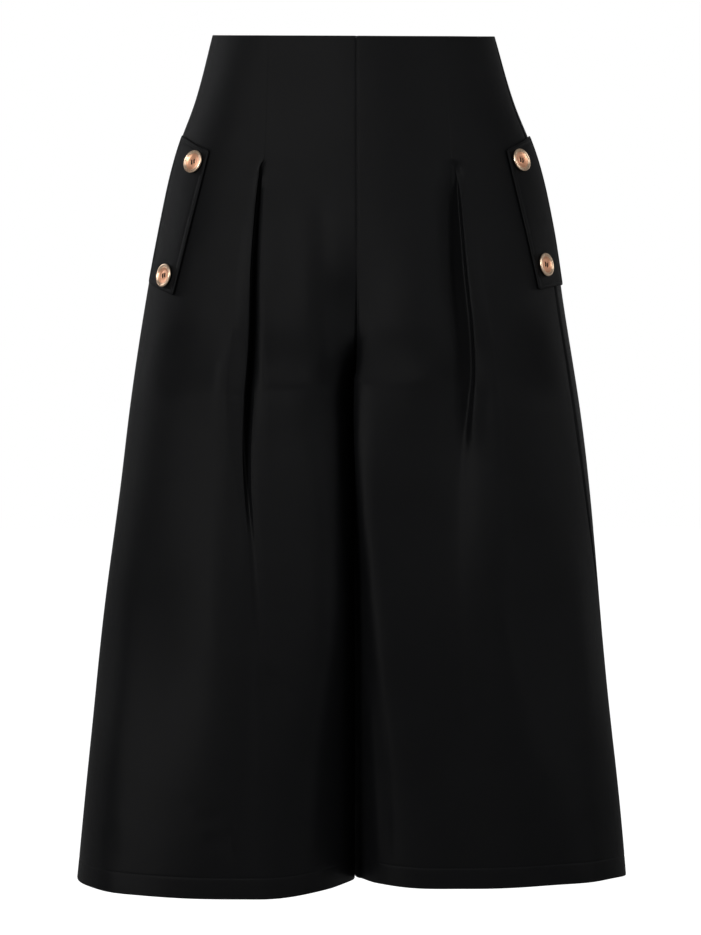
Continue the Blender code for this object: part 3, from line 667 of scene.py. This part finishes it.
# the four panels' cloth: thicknesses, turnings, how far its seams gape and sink, and the net of
# points on it, closer at its edges and round the pleats' tops
cloth = {
    "thick": 0.9, "turnedThick": 1.8, "waistTurning": 12.0, "hemTurning": 17.6, "edgeRound": 0.44,
    "seamGap": 0.03, "zipGap": 1.0, "zipGapTop": 18.0, "zipGapFoot": 42.0,
    "seamDip": {"centre": 0.9, "side": 1.7}, "seamWidth": {"centre": 1.7, "side": 2.6},
    "allowance": 8, "allowanceThick": 0.6, "allowanceGap": 0.12,
    "stitchGroove": 0.28, "grooveWidth": 0.9, "foldPull": 1.15,
    "turningStep": 0.6, "endIn": 0.9, "leastDeep": 0.15, "leastWall": 0.1,
    "edgeColumns": (0, 0.3, 0.7, 1.2, 1.9, 3.0, 5.2, 8.2, 11.5),
    "frontColumns": (22, 50, 20), "backColumns": 66, "rowStep": 3.5,
    "waistRows": (0, 0.1, 0.3, 0.6, 1.0, 2, 4.5, 8, 11.2, 11.8, 12.4), "bodyFrom": 16,
    "apexRows": (97, 146), "stitchRows": (1.9, 1.2, 0.8, 0.4, 0, -0.4, -0.8, -1.2, -1.9),
    "footRows": (13, 10, 7, 4, 2, 1.0, 0.6, 0.3, 0.1, 0),
}


def rowLevels():
    hem, step = form["hem"], cloth["rowStep"]
    foot = [cloth["hemTurning"] + row for row in cloth["stitchRows"]] + list(cloth["footRows"])
    body = np.arange(cloth["bodyFrom"], hem - cloth["hemTurning"] - 3, step)
    apex = np.arange(*cloth["apexRows"], step) + step / 2
    levels = [*cloth["waistRows"], *body, *apex, *(hem - row for row in foot)]
    return np.unique(np.round(levels, 3))


# even places along a length, with the same close ones near both ends
def edged(length, count, near):
    inner = np.linspace(near[-1], length - near[-1], count + 1)[1:-1]
    return np.concatenate([near, inner, length - np.array(near[::-1])])


# how far a row's points lie from its inner end, folded and flat
def rowDistances(row):
    if row["face"] == "back":
        return (edged(row["length"], cloth["backColumns"], cloth["edgeColumns"]),) * 2
    edge = np.array(cloth["edgeColumns"])
    ends = row["length"] - edge[::-1]
    (inside, across, outside), pleat = cloth["frontColumns"], row["pleat"]
    p = np.linspace(-1, 1, across + 1)
    flat = pleat["fold"] + pleat["width"] / 2 * p
    overturned = np.sin(np.pi * p) * np.cos(np.pi * p / 2) ** 2
    folded = flat - cloth["foldPull"] * pleat["lap"] * overturned
    near = np.linspace(edge[-1], flat[0], inside + 1)[1:-1]
    far = np.linspace(flat[-1], ends[0], outside + 1)[1:-1]
    return tuple(np.concatenate([edge, near, fold, far, ends]) for fold in (folded, flat))


# half the gap at the centre seam: wide at the top of the back, round the zip's slider
def centreGap(face, level):
    if face == "front" or level > form["forkFoot"]:
        return cloth["seamGap"]
    opened = 1 - ramp(level, cloth["zipGapTop"], cloth["zipGapFoot"])
    return cloth["seamGap"] + (cloth["zipGap"] - cloth["seamGap"]) * opened


# how far a turned edge is rounded in, at this distance from it
def roundedIn(distance, radius):
    share = np.clip(1 - distance / radius, 0, 1)
    return radius * (1 - np.sqrt(1 - share ** 2))


def makeSurfaces():
    levels = rowLevels()
    surfaces = {}
    for side in signOf:
        for face in towards:
            points, flats = [], []
            for level in levels:
                row = makeRow(side, face, level)
                distance, flat = rowDistances(row)
                points.append(placeOnRow(row, distance, flat))
                flats.append(flat)
            points = np.array(points)
            across, down = np.gradient(points, axis=1), np.gradient(points, axis=0)
            normals = unit(np.cross(across, down)) * signOf[side] * towards[face]
            surfaces[side, face] = {"points": points, "flats": np.array(flats),
                                    "normals": normals}
    legs = levels >= form["forkFoot"]
    for side in signOf:      # one normal for both sides of a seam, so its edges sink together
        front, back = (surfaces[side, face]["normals"] for face in ("front", "back"))
        front[:, -1] = back[:, -1] = unit(front[:, -1] + back[:, -1])
        front[legs, 0] = back[legs, 0] = unit(front[legs, 0] + back[legs, 0])
        for normals in (front, back):
            normals[~legs, 0] = unit(normals[~legs, 0] * (0, 1, 1))
    return levels, surfaces


# a closed sheet in a bmesh: a grid moved to its outer places, extruded to its inner places
def addWall(shape, outer, inner, flats):
    rows, columns = outer.shape[:2]
    number = shape.verts.layers.int["number"]
    sheet = shape.verts.layers.float_vector["sheet"]
    made = bmesh.ops.create_grid(shape, x_segments=columns - 1, y_segments=rows - 1, size=1.0)
    outerPlaces, innerPlaces = outer.reshape(-1, 3) * mm, inner.reshape(-1, 3) * mm
    for i, vert in enumerate(made["verts"]):
        vert[number] = i
        vert.co = outerPlaces[i]
        vert[sheet] = flats[i]
    faces = list({face for vert in made["verts"] for face in vert.link_faces})
    grown = bmesh.ops.extrude_face_region(shape, geom=faces, use_keep_orig=True)
    for item in grown["geom"]:
        if isinstance(item, bmesh.types.BMVert):
            item.co = innerPlaces[item[number]]


def newCloth():
    shape = bmesh.new()
    shape.verts.layers.int.new("number")
    shape.verts.layers.float_vector.new("sheet")
    return shape


def toMesh(shape, name):
    mesh = bpy.data.meshes.new(name)
    shape.to_mesh(mesh)
    shape.free()
    return mesh


# an object's mesh with its modifiers or its tube applied; the object goes
def appliedMesh(thing):
    graph = bpy.context.evaluated_depsgraph_get()
    mesh = bpy.data.meshes.new_from_object(thing.evaluated_get(graph))
    bpy.data.objects.remove(thing)
    return mesh


# the bmesh, moved to where it goes, becomes a piece that rides on a body and may stand for a CAD
# node; its UV map is the flat cloth in metres, or the button seen from above
def finishPiece(shape, name, material, node=None, where=Matrix(), body="garment",
                crease=50, uvName="cloth"):
    bmesh.ops.transform(shape, verts=shape.verts, matrix=where)
    bmesh.ops.recalc_face_normals(shape, faces=shape.faces)
    mesh = toMesh(shape, name)
    if "sheet" in mesh.attributes:
        places = np.zeros(len(mesh.vertices) * 3, np.float32)
        mesh.attributes["sheet"].data.foreach_get("vector", places)
        corners = np.zeros(len(mesh.loops), np.int32)
        mesh.loops.foreach_get("vertex_index", corners)
        layer = mesh.uv_layers.new(name=uvName)
        layer.data.foreach_set("uv", places.reshape(-1, 3)[corners, :2].ravel())
        mesh.attributes.remove(mesh.attributes["sheet"])
        if "number" in mesh.attributes:
            mesh.attributes.remove(mesh.attributes["number"])
    mesh.shade_smooth()
    mesh.set_sharp_from_angle(angle=math.radians(crease))
    mesh.materials.append(material)
    piece = newObject(name, mesh)
    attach(piece, body)
    if node:
        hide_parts(node)
    return piece


def makePanels():
    levels, surfaces = makeSurfaces()
    hem = form["hem"]
    turned = np.maximum(1 - smooth((levels - cloth["waistTurning"] + 0.5) / cloth["turningStep"]),
                        smooth((levels - hem + cloth["hemTurning"]) / cloth["turningStep"]))
    thick = cloth["thick"] + (cloth["turnedThick"] - cloth["thick"]) * turned
    radius = cloth["edgeRound"] * cloth["turnedThick"]
    endIn = roundedIn(levels, radius) + roundedIn(hem - levels, radius)
    fromStitch = levels - hem + cloth["hemTurning"]
    groove = cloth["stitchGroove"] * bell(fromStitch / cloth["grooveWidth"])
    for (side, face), surface in surfaces.items():
        points, normals, flats = surface["points"], surface["normals"], surface["flats"]
        gaps = np.array([centreGap(face, level) for level in levels])[:, None]
        points[:, 0] += unit(points[:, 1] - points[:, 0]) * gaps
        points[:, -1] += unit(points[:, -2] - points[:, -1]) * cloth["seamGap"]
        seam = np.zeros_like(flats)
        for name, fromEdge in (("centre", flats), ("side", flats[:, -1:] - flats)):
            seam += cloth["seamDip"][name] * (1 - smooth(fromEdge / cloth["seamWidth"][name]))
        inward = seam + (endIn + groove)[:, None]
        outer = points - normals * inward[:, :, None]
        deep = (thick - endIn * cloth["endIn"])[:, None]
        deep = np.maximum(np.maximum(deep, cloth["leastDeep"]) + seam, inward + cloth["leastWall"])
        inner = points - normals * deep[:, :, None]
        steps = np.linalg.norm(np.diff(points, axis=0, prepend=points[:1]), axis=2)
        sheet = np.stack([flats, -np.cumsum(steps, axis=0), np.zeros_like(flats)], 2) * mm
        shape = newCloth()
        addWall(shape, outer, inner, sheet.reshape(-1, 3))
        body = (levels > 0.5) & (levels < hem - cloth["hemTurning"] - 2)
        body &= np.arange(len(levels)) % 2 == 0      # the allowances need every other row only
        for columns in (slice(0, cloth["allowance"]), slice(-cloth["allowance"], None)):
            under = inner[body, columns] - normals[body, columns] * cloth["allowanceGap"]
            deeper = under - normals[body, columns] * cloth["allowanceThick"]
            addWall(shape, under, deeper, sheet[body, columns].reshape(-1, 3))
        piece = finishPiece(shape, f"cloth_{face}_{side}", crepe, f"{face}_{side}")
    print("panels made")
    return levels, surfaces


levels, surfaces = makePanels()


# a point of the outer surface near the side, and below it the same with its axes
def pointOnSkin(side, across, drop, inward=0.0):
    front = makeRow(side, "front", drop)
    distance = distanceOf(front, across) + inward
    if distance <= front["length"]:
        return placeOnRow(front, distance)[0]
    back = makeRow(side, "back", drop)
    return placeOnRow(back, back["length"] - (distance - front["length"]))[0]


def skinFrame(side, across, drop, inward=0.0):
    here = pointOnSkin(side, across, drop, inward)
    below = pointOnSkin(side, across, drop + 2.0, inward)
    beyond = pointOnSkin(side, across, drop, inward + 2.0)
    normal = unit(np.cross(beyond - here, below - here) * -signOf[side])
    return here, normal, unit(below - here)


# the hip tabs; top and foot are each end's front corner, across and drop, and its rise behind
tab = {"width": 48.0, "length": 135.0, "thick": 2.5, "gap": 0.35, "edge": 0.6, "lip": 0.5,
       "undercut": 2.4, "corner": 2.6, "stitchIn": 4.2, "groove": 0.3, "grooveWidth": 0.8,
       "plump": 0.3, "plumpIn": 1.9, "plumpWidth": 1.2, "edgeUnder": 0.55, "leastWall": 0.12,
       "columns": 12, "rows": 52,
       "edgeColumns": [0, 0.15, 0.4, 0.8, 1.4, 2.4, 3.5, 4.2, 4.9, 6.2],
       "right": {"top": (128.5, 103.5, 12.0), "foot": (160.0, 234.0, 9.0)},
       "left": {"top": (133.0, 103.5, 12.0), "foot": (160.6, 233.0, 5.0)}}


# the |x| at another drop that lies as far from the side as this point does at its own
def sameLine(side, across, drop, otherDrop):
    here, there = makeRow(side, "front", drop), makeRow(side, "front", otherDrop)
    behind = here["length"] - distanceOf(here, across)
    return float(np.interp(there["length"] - behind, there["along"], there["points"][:, 0]))


def tabSpot(side, down, across):
    top, foot = np.array(tab[side]["top"]), np.array(tab[side]["foot"])
    edgeX, edgeDrop, rise = top + (foot - top) * down
    lifted = edgeDrop - rise * across
    line = sameLine(side, edgeX, edgeDrop, lifted)
    place, normal, _ = skinFrame(side, line, lifted, tab["width"] * across)
    return np.concatenate([place, normal])


tabKnots = np.linspace(0, 1, 15), np.linspace(0, 1, 9)      # shares of its length and width
tabSpots = {side: np.array([[tabSpot(side, down, across) for across in tabKnots[1]]
                            for down in tabKnots[0]]) for side in signOf}


# a place on the skin under a tab with its normal, read from a coarse net of spots
def tabPlace(side, down, across):
    line = cubic(tabKnots[0], tabSpots[side], down / tab["length"])
    spot = cubic(tabKnots[1], line, across / tab["width"])
    return spot[:3], unit(spot[3:])


# square corners drawn in to a small round
def roundCorner(down, across):
    r = tab["corner"]
    for farDown in (0, tab["length"]):
        for farAcross in (0, tab["width"]):
            a, b = r - abs(down - farDown), r - abs(across - farAcross)
            if a > 0 and b > 0:
                scale = max(a, b) / math.hypot(a, b)
                down = farDown + math.copysign(r - a * scale, tab["length"] / 2 - farDown)
                across = farAcross + math.copysign(r - b * scale, tab["width"] / 2 - farAcross)
                return down, across
    return down, across


def makeTab(side):
    downs = edged(tab["length"], tab["rows"], tab["edgeColumns"])
    acrosses = edged(tab["width"], tab["columns"], tab["edgeColumns"])
    outer, inner, flats = [], [], []
    for down in downs:
        for across in acrosses:
            d, a = roundCorner(down, across)
            place, normal = tabPlace(side, d, a)
            border = min(down, tab["length"] - down, across, tab["width"] - across)
            rounding = roundedIn(border, tab["edge"])
            groove = tab["groove"] * bell((border - tab["stitchIn"]) / tab["grooveWidth"])
            plump = tab["plump"] * bell((border - tab["plumpIn"]) / tab["plumpWidth"])
            high = tab["thick"] - rounding - groove + plump
            under = (high - tab["lip"]) * (1 - smooth(border / tab["undercut"]))
            low = min(max(rounding * tab["edgeUnder"], under), high - tab["leastWall"])
            outer.append(place + normal * (tab["gap"] + high))
            inner.append(place + normal * (tab["gap"] + low))
            flats.append((a * mm, -d * mm, 0))
    size = (len(downs), len(acrosses), 3)
    shape = newCloth()
    addWall(shape, np.reshape(outer, size), np.reshape(inner, size), flats)
    piece = finishPiece(shape, f"tab_cloth_{side}", crepe, f"hip_tab_{side}")


# stitches: small flattened grains laid along a line of points
stitch = {"hemPitch": 3.3, "tabPitch": 2.9, "start": 0.14, "long": 0.72, "wide": 0.34,
          "high": 0.22, "hemLift": 0.05, "tabLift": 0.04}


def addStitch(shape, start, end, normal):
    start, end, normal = (Vector(v) for v in (start, end, normal))
    run = end - start
    across = normal.cross(run).normalized()
    up = run.normalized().cross(across)
    turn = Matrix((run.normalized(), across, up)).transposed().to_4x4()
    size = Matrix.Diagonal((*(length * mm / 2 for length in
                              (run.length, stitch["wide"], stitch["high"])), 1))
    place = Matrix.Translation((start + end) / 2 * mm) @ turn @ size
    place = place @ Matrix.Rotation(math.radians(90), 4, "Y")
    bmesh.ops.create_uvsphere(shape, u_segments=6, v_segments=5, radius=1.0, matrix=place)


def addStitchLine(shape, points, normals, pitch):
    points, normals = np.array(points), np.array(normals)
    along = lengthsAlong(points)
    count = int(along[-1] / pitch)
    for i in range(count):
        first, last = ((i + stitch["start"] + long) * along[-1] / count
                       for long in (0, stitch["long"]))
        addStitch(shape, readAlong(along, points, first), readAlong(along, points, last),
                  unit(readAlong(along, normals, first)))


def makeHemStitches():
    i = int(np.argmin(abs(levels - form["hem"] + cloth["hemTurning"])))
    for side in signOf:
        shape = bmesh.new()
        for face in towards:
            surface = surfaces[side, face]
            normals = surface["normals"][i, 2:-2]
            lift = stitch["hemLift"] - cloth["stitchGroove"]
            addStitchLine(shape, surface["points"][i, 2:-2] + normals * lift, normals,
                          stitch["hemPitch"])
        finishPiece(shape, f"hem_stitches_{side}", thread)


def makeTabStitches(side):
    inset, lift = tab["stitchIn"], tab["gap"] + tab["thick"] - tab["groove"] + stitch["tabLift"]
    corners = [(inset, inset), (inset, tab["width"] - inset),
               (tab["length"] - inset, tab["width"] - inset), (tab["length"] - inset, inset)]
    shape = bmesh.new()
    for (d0, a0), (d1, a1) in zip(corners, corners[1:] + corners[:1]):
        points, normals = [], []
        for t in np.linspace(0, 1, 14):
            place, normal = tabPlace(side, d0 + (d1 - d0) * t, a0 + (a1 - a0) * t)
            points.append(place + normal * lift)
            normals.append(normal)
        addStitchLine(shape, points, normals, stitch["tabPitch"])
    finishPiece(shape, f"tab_stitches_{side}", thread)


makeHemStitches()
for side in signOf:
    makeTab(side)
    makeTabStitches(side)
print("tabs and stitches made")

# buttons: turned, dished and pierced with four holes, sewn on with black thread
button = {
    "radius": 10.5, "segments": 72, "hole": 0.85, "pitch": 1.55, "seat": 0.3,
    # the holes and their countersinks: share of the radius at foot and top, heights of both
    "drills": ((1, 1, -2, 4), (0.9, 1.35, 1.2, 1.62)),
    "thread": {"top": 1.4, "foot": -0.9, "apart": 0.24, "arch": 0.42, "radius": 0.27},
    "profile": (
        # distance from the axis, height
        (0, 0), (8.6, 0), (9.6, 0.35), (10.2, 0.95), (10.5, 1.65), (10.42, 2.2), (10.1, 2.65),
        (9.6, 2.88), (9.05, 2.88), (8.6, 2.68), (8.3, 2.32), (8.1, 2.02), (7.8, 1.9),
        (7.45, 1.98), (7.15, 2.08), (6.85, 1.98), (6.5, 1.8), (5.6, 1.52), (4.6, 1.36),
        (3.6, 1.32), (3.2, 1.42), (2.9, 1.52), (2.6, 1.5), (0, 1.46),
    ),
    "right": {"top": (141.5, 115.5), "bottom": (166.5, 218.0)},
    "left": {"top": (145.0, 115.0), "bottom": (166.0, 211.5)},
}


def makeButtonMesh():
    shape = bmesh.new()
    verts = [shape.verts.new((x * mm, 0, z * mm)) for x, z in button["profile"]]
    edges = [shape.edges.new(pair) for pair in zip(verts, verts[1:])]
    bmesh.ops.spin(shape, geom=verts + edges, cent=(0, 0, 0), axis=(0, 0, 1), angle=math.tau,
                   steps=button["segments"], use_merge=True)
    bmesh.ops.remove_doubles(shape, verts=shape.verts, dist=0.01 * mm)
    bmesh.ops.recalc_face_normals(shape, faces=shape.faces)
    holes = bmesh.new()
    for x in (-button["pitch"], button["pitch"]):
        for y in (-button["pitch"], button["pitch"]):
            for radius1, radius2, low, high in button["drills"]:
                place = Matrix.Translation((x * mm, y * mm, (low + high) / 2 * mm))
                bmesh.ops.create_cone(holes, cap_ends=True, segments=20, depth=(high - low) * mm,
                                      radius1=radius1 * button["hole"] * mm,
                                      radius2=radius2 * button["hole"] * mm, matrix=place)
    body, cutter = (newObject(name, toMesh(made, name))
                    for name, made in (("button_body", shape), ("button_holes", holes)))
    cut = body.modifiers.new("holes", "BOOLEAN")
    cut.object, cut.operation, cut.use_self = cutter, "DIFFERENCE", True
    mesh = appliedMesh(body)
    bpy.data.objects.remove(cutter)
    return mesh


def makeButton(side, name, source):
    across, drop = button[side][name]
    place, normal, down = skinFrame(side, across, drop)
    seat = Vector(place + normal * (tab["gap"] + tab["thick"] + button["seat"])) * mm
    zAxis = Vector(normal)
    xAxis = Vector(down).cross(zAxis).normalized()
    turn = Matrix((xAxis, zAxis.cross(xAxis), zAxis)).transposed().to_4x4()
    where = Matrix.Translation(seat) @ turn
    shape = bmesh.new()
    shape.from_mesh(source)
    sheet = shape.verts.layers.float_vector.new("sheet")
    for vert in shape.verts:      # the UV map is the button seen from above
        vert[sheet] = vert.co / (2 * button["radius"] * mm) + Vector((0.5, 0.5, 0))
    finishPiece(shape, f"rose_button_{side}_{name}", roseGold,
                f"button_{side}_{name}", where, crease=35, uvName="button")
    makeButtonThread(side, name, where)


# polyline paths as round tubes, made a mesh
def makeTubes(name, paths, radius, sides, where, material):
    curve = bpy.data.curves.new(name, "CURVE")
    curve.dimensions = "3D"
    curve.bevel_depth = radius * mm
    curve.bevel_resolution = sides
    curve.use_fill_caps = True
    for path in paths:
        spline = curve.splines.new("POLY")
        spline.points.add(len(path) - 1)
        for point, place in zip(spline.points, path):
            point.co = (*(Vector(place) * mm), 1)
    shape = bmesh.new()
    shape.from_mesh(appliedMesh(newObject(name, curve)))
    finishPiece(shape, name, material, where=where)


# two bars of doubled thread through the holes, and the shank under the button
def makeButtonThread(side, name, where):
    p, sewn = button["pitch"], button["thread"]
    paths = []
    for x in (-p, p):
        for strand in (x - sewn["apart"], x + sewn["apart"]):
            arch = [(strand, p * math.cos(a), sewn["top"] + sewn["arch"] * math.sin(a))
                    for a in np.linspace(0, math.pi, 9)]
            paths.append([(strand, p, sewn["foot"]), *arch, (strand, -p, sewn["foot"])])
    makeTubes(f"button_thread_{side}_{name}", paths, sewn["radius"], 2, where, thread)


buttonMesh = makeButtonMesh()
for side in signOf:
    for name in ("top", "bottom"):
        makeButton(side, name, buttonMesh)
print("buttons made")

# the concealed zip at the centre back: coil, slider and pull
zipSizes = {"sliderDrop": 12.0, "lineTo": 30.0, "pullLift": 1.3, "cloth": 1.5, "tapeGap": 0.8,
            "tape": 0.8, "behind": 0.3, "coilTop": 20.0, "coilFoot": 199.0, "coilPitch": 1.0,
            "coilWide": 1.25, "coilDeep": 0.55, "coilWire": 0.2, "coilSides": 8, "knots": 24}
layers = sum(zipSizes[name] for name in ("cloth", "tapeGap", "tape"))


def backPoint(drop):
    return placeOnRow(makeRow("left", "back", drop), 0.0)[0]


def zipFrame():
    here, below = (backPoint(zipSizes[name]) for name in ("sliderDrop", "lineTo"))
    down = unit(below - here)
    out = np.array([0.0, -down[2], down[1]])
    hinge = Vector(here + out * zipSizes["pullLift"]) * mm
    hinge.x = 0.0
    return Matrix.Translation(hinge) @ Matrix.Rotation(math.atan2(down[1], -down[2]), 4, "X")


def makeCoil():
    drops = np.linspace(zipSizes["coilTop"], zipSizes["coilFoot"], zipSizes["knots"])
    spine = np.array([backPoint(drop) for drop in drops])
    depth = layers + zipSizes["coilDeep"] + zipSizes["behind"]
    turns = (drops[-1] - drops[0]) / zipSizes["coilPitch"]
    shares, path = np.linspace(0, 1, len(drops)), []
    for t in np.linspace(0, 1, int(turns * zipSizes["coilSides"])):
        _, y, z = readAlong(shares, spine, t)
        angle = t * turns * math.tau
        path.append((zipSizes["coilWide"] * math.cos(angle),
                     y - depth + zipSizes["coilDeep"] * math.sin(angle), z))
    makeTubes("zip_coil", [path], zipSizes["coilWire"], 1, Matrix(), enamel)


def addBox(shape, low, high):
    low, high = Vector(low) * mm, Vector(high) * mm
    place = Matrix.Translation((low + high) / 2) @ Matrix.Diagonal((*(high - low), 1.0))
    bmesh.ops.create_cube(shape, size=1.0, matrix=place)


def bevelAll(shape, offset, segments, angle=30):
    sharp = [edge for edge in shape.edges if edge.calc_face_angle(0) > math.radians(angle)]
    bmesh.ops.bevel(shape, geom=sharp, offset=offset * mm, offset_type="OFFSET", affect="EDGES",
                    segments=segments, profile=0.5, material=-1, clamp_overlap=True)


# the pull: half its thickness and widths, how far it reaches below and above the hinge, and half
# the width and the depth of its eye
pull = {"thick": 0.4, "shoulder": 2.4, "foot": 3.1, "length": 22.0, "top": 0.45,
        "eye": (1.1, 4.4), "edge": 0.14}


# an outline in X and Z, pulled to a thickness along Y, with an eye cut through it
def makePull():
    half, shoulder, foot, top = (pull[name] for name in ("thick", "shoulder", "foot", "top"))
    eyeHalf, eyeFoot = pull["eye"]
    centre = -(pull["length"] - foot)
    arc = [math.radians(angle) for angle in range(-180, 1, 12)]
    outline = [(shoulder, top), (-shoulder, top)]
    outline += [(foot * math.cos(a), centre + foot * math.sin(a)) for a in arc]
    eye = [(eyeHalf, -top), (-eyeHalf, -top), (-eyeHalf, -eyeFoot), (eyeHalf, -eyeFoot)]
    shape = bmesh.new()
    loops = []
    for ring in (outline, eye):
        verts = [shape.verts.new((x * mm, -half * mm, z * mm)) for x, z in ring]
        loops += [shape.edges.new(pair) for pair in zip(verts, verts[1:] + verts[:1])]
    bmesh.ops.triangle_fill(shape, edges=loops, use_beauty=True)
    bmesh.ops.dissolve_limit(shape, angle_limit=math.radians(1), verts=shape.verts,
                             edges=shape.edges)
    grown = bmesh.ops.extrude_face_region(shape, geom=shape.faces[:], use_keep_orig=True)
    moved = [item for item in grown["geom"] if isinstance(item, bmesh.types.BMVert)]
    bmesh.ops.translate(shape, verts=moved, vec=(0, 2 * half * mm, 0))
    bmesh.ops.recalc_face_normals(shape, faces=shape.faces)
    bevelAll(shape, pull["edge"], 2, 60)
    finishPiece(shape, "pull_metal", enamel, "zip_pull", zipFrame(), "pull", 40)


# the slider's body, then half its loop's width and height, how far it stands out, half its opening
slider = {"wide": 7.0, "tall": 11.0, "deep": 2.4, "edge": 0.7, "neck": 0.7, "loopTall": 2.1,
          "out": 1.8, "opening": 1.0, "loopEdge": 0.12}


def makeSlider():
    back = -(zipSizes["pullLift"] + layers + zipSizes["behind"])
    neck, tall, out, opening = (slider[name] for name in ("neck", "loopTall", "out", "opening"))
    shape = bmesh.new()
    addBox(shape, (-slider["wide"] / 2, back - slider["deep"], -slider["tall"] / 2),
           (slider["wide"] / 2, back, slider["tall"] / 2))
    bevelAll(shape, slider["edge"], 3)
    loop = [((-neck, back - 0.4, -tall), (neck, -opening, tall)),
            ((-neck, opening, -tall), (neck, out, tall)),
            ((-neck, -opening, opening), (neck, opening, tall)),
            ((-neck, -opening, -tall), (neck, opening, -opening))]
    for low, high in loop:
        part = bmesh.new()
        addBox(part, low, high)
        bevelAll(part, slider["loopEdge"], 2)
        shape.from_mesh(toMesh(part, "slider_bar"))
    finishPiece(shape, "slider_metal", enamel, "zip_slider", zipFrame(), crease=40)


makeCoil()
makeSlider()
makePull()
for side in signOf:
    tapeNode = bpy.data.objects[f"zip_tape_{side}"]
    for slot in tapeNode.material_slots:
        slot.material = tapeCloth
print("zip made")

# floor and light; the lamps are in metres and watts
stageLook = {"floorDrop": 1.12, "floorSize": 60.0, "floor": (0.42, 0.42, 0.42, 1),
             "floorLight": (0.50, 0.50, 0.50, 1), "floorRough": 0.85, "floorPatch": 900.0,
             "ambient": 0.18, "aim": (0, 0, -0.4)}
lamps = (
    # name, place, width, height, power, colour
    ("overhead", (0.0, -2.1, 1.3), 3.0, 1.2, 13.5, (1.0, 0.995, 0.985)),
    ("upper left", (-1.2, -1.7, 1.4), 1.4, 1.0, 2.5, (1.0, 0.99, 0.98)),
    ("key", (-1.6, -1.95, 0.25), 0.6, 0.85, 33, (1.0, 0.985, 0.97)),
    ("fill", (2.0, -1.4, 0.3), 1.0, 1.2, 13.5, (1.0, 1.0, 1.0)),
    ("rim", (-2.0, 1.1, 0.6), 0.6, 0.8, 6, (0.97, 0.98, 1.0)),
    ("right rim", (2.0, 1.1, 0.1), 0.6, 0.6, 1.2, (1.0, 1.0, 1.0)),
)


def makeFloor():
    shape = bmesh.new()
    bmesh.ops.create_grid(shape, x_segments=1, y_segments=1, size=stageLook["floorSize"] / 2)
    bmesh.ops.translate(shape, verts=shape.verts, vec=(0, 0, -stageLook["floorDrop"]))
    mesh = toMesh(shape, "floor")
    made, tree, sockets = newMaterial("paleFloor", Roughness=stageLook["floorRough"])
    tone = unevenness(tree, stageLook["floorPatch"])["Tone"]
    tree.links.new(mixColour(tree, tone, stageLook["floor"], stageLook["floorLight"]),
                   sockets["Base Color"])
    seen = addNode(tree, "LightPath").outputs["Is Camera Ray"]
    tree.links.new(seen, sockets["Emission Strength"])      # the floor is seen as plain white
    sockets["Emission Color"].default_value = (1, 1, 1, 1)
    mesh.materials.append(made)
    newObject("floor", mesh)


def makeLights():
    world = bpy.data.worlds.new("studio")
    world.use_nodes = True
    tree = world.node_tree
    background = tree.nodes["Background"]
    seen = addNode(tree, "LightPath").outputs["Is Camera Ray"]
    tree.links.new(remap(tree, seen, 0.0, 1.0, stageLook["ambient"], 1.0),
                   background.inputs["Strength"])
    background.inputs["Color"].default_value = (1, 1, 1, 1)
    bpy.context.scene.world = world
    for name, place, width, height, power, colour in lamps:
        lamp = bpy.data.lights.new(name, "AREA")
        lamp.shape, lamp.size, lamp.size_y = "RECTANGLE", width, height
        lamp.energy, lamp.color = power, colour
        holder = newObject(name, lamp)
        holder.location = place
        aim = Vector(stageLook["aim"]) - Vector(place)
        holder.rotation_euler = aim.to_track_quat("-Z", "Y").to_euler()


makeFloor()
makeLights()
print("floor and lights made")
